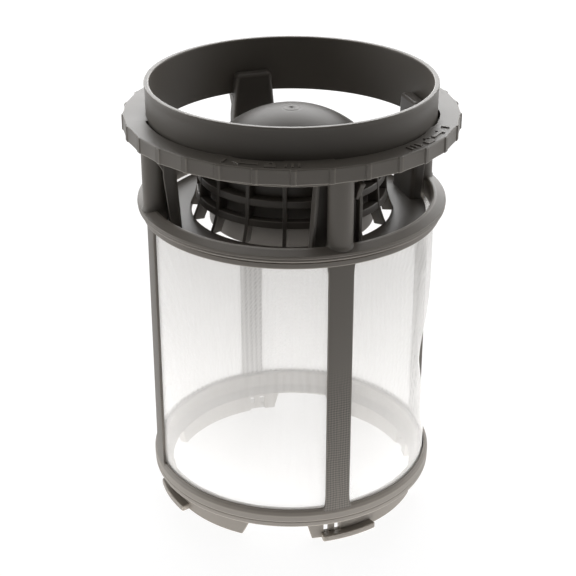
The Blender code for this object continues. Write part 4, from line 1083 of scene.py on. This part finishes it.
# Surroundings: white where the camera looks at them or through the cloth. All other rays
# meet a studio that is bright at the sides and behind, dark on the camera's side and dim
# overhead. Its brightness is a ramp from 0, straight behind, to 1, on the camera's side.
def makeWorld():
    plan = lightPlan
    world = bpy.data.worlds.new("surroundings")
    world.use_nodes = True
    bpy.context.scene.world = world
    make = Signal(world.node_tree)
    background = world.node_tree.nodes["Background"]
    direction = make.node("ShaderNodeTexCoord", output="Generated")
    toFront = place(cameraShape["azimuth"], 1.0, 0.0).tolist()
    facing = make.node("ShaderNodeVectorMath", {"operation": "DOT_PRODUCT"},
                       {0: direction, 1: toFront}, output="Value")
    stops = [(at, (level, level, level, 1.0)) for at, level in plan["around"]]
    ramp = make.node("ShaderNodeValToRGB", {"stops": stops}, {0: facing * 0.5 + 0.5})
    height = make.node("ShaderNodeSeparateXYZ", None, {"Vector": direction}, output="Z")
    above = ((height - plan["dimStart"]) / plan["dimReach"]).clamped()
    dim = 1.0 - above * (1.0 - plan["overhead"])
    seen = rayKind(make, "Is Camera Ray", "Is Transmission Ray")
    ceiling = ((height - plan["ceilingStart"]) / plan["ceilingReach"]).clamped() * plan["ceiling"]
    strength = (ramp * dim + ceiling) * (1.0 - seen) + seen
    background.inputs["Color"].default_value = (1.0, 1.0, 1.0, 1.0)
    world.node_tree.links.new(strength.socket, background.inputs["Strength"])


# Floor: white to the camera but for the object's soft shadow. To the object it is a pale
# board that darkens further away, and glows round the object as a light table does.
def makeFloor():
    plan = lightPlan
    mesh = bpy.data.meshes.new("floor")
    reach = plan["floorReach"]
    corners = [(-reach, -reach, 0), (reach, -reach, 0), (reach, reach, 0), (-reach, reach, 0)]
    mesh.from_pydata(corners, [], [(0, 1, 2, 3)])
    floor = bpy.data.objects.new("floor", mesh)
    bpy.context.scene.collection.objects.link(floor)
    floor.location = (0.0, 0.0, -plan["floorDrop"] * mm)
    material, make, shader = newMaterial("paleFloor")
    shader.inputs["Roughness"].default_value = 0.9
    shader.inputs["Specular IOR Level"].default_value = 0.0
    shader.inputs["Emission Strength"].default_value = 1.0
    seen = rayKind(make, "Is Camera Ray", "Is Glossy Ray", "Is Transmission Ray")
    where = make.node("ShaderNodeTexCoord", output="Object")
    away = make.node("ShaderNodeVectorMath", {"operation": "LENGTH"}, {0: where}, output="Value")
    fall = (1.0 - (away - plan["glowStart"]) / (plan["glowEnd"] - plan["glowStart"])).clamped()
    glow = fall * fall * plan["floorGlow"] * (1.0 - seen) + seen * plan["floorFill"]
    white = make.node("ShaderNodeEmission", None, {"Color": (1.0, 1.0, 1.0, 1.0), "Strength": 1.0})
    tree = material.node_tree
    far = ((away - plan["farStart"]) / (plan["farEnd"] - plan["farStart"])).clamped() * (1.0 - seen)
    board = make.mixed(far, shade([plan["board"]] * 3), shade([plan["board"]] * 3, plan["boardFar"]))
    tree.links.new(board.socket, shader.inputs["Base Color"])
    tree.links.new(glow.socket, shader.inputs["Emission Color"])
    make.blended(seen * plan["floorWhite"], Signal(tree, shader.outputs[0]), white).shown()
    mesh.materials.append(material)


bpy.context.scene.view_settings.view_transform = "Standard"
print("camera, light and floor")
makeCamera()
makeWorld()
for lampName in ("left", "right", "behind"):
    makeLight(lampName)
makeFloor()

print("materials")
framePlastic = mouldedPlastic("framePlastic", plasticFinish["frame"])
basketPlasticPaintedLight = mouldedPlastic("basketPlasticPaintedLight", plasticFinish["basket"])
ribPlasticPaintedShade = mouldedPlastic("ribPlasticPaintedShade", plasticFinish["rib"], imprint=True)
strainerPlastic = mouldedPlastic("strainerPlastic", plasticFinish["strainer"])
filterWeave = wovenCloth("filterWeave", clothShape)

print("upper frame")
makeCollar(framePlastic)
makeFlange(framePlastic)
makePosts(framePlastic)
# the middle ring takes the lighter basket plastic, as painted light
makeMiddleRing(basketPlasticPaintedLight)
makeSeats(framePlastic)
makeSigns(framePlastic)

print("basket frame")
makeBand(basketPlasticPaintedLight)
makeRibs(ribPlasticPaintedShade)
makeBottomRing(basketPlasticPaintedLight)
makeFoot(basketPlasticPaintedLight)

print("filter cloth")
makeCloth(filterWeave)

print("coarse strainer")
makeDome(strainerPlastic)
makeCage(strainerPlastic)
makeShelf(strainerPlastic)
makeArms(strainerPlastic)
makeHooks(strainerPlastic)

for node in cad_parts.values():
    node.data.materials.clear()
    node.data.materials.append(framePlastic)
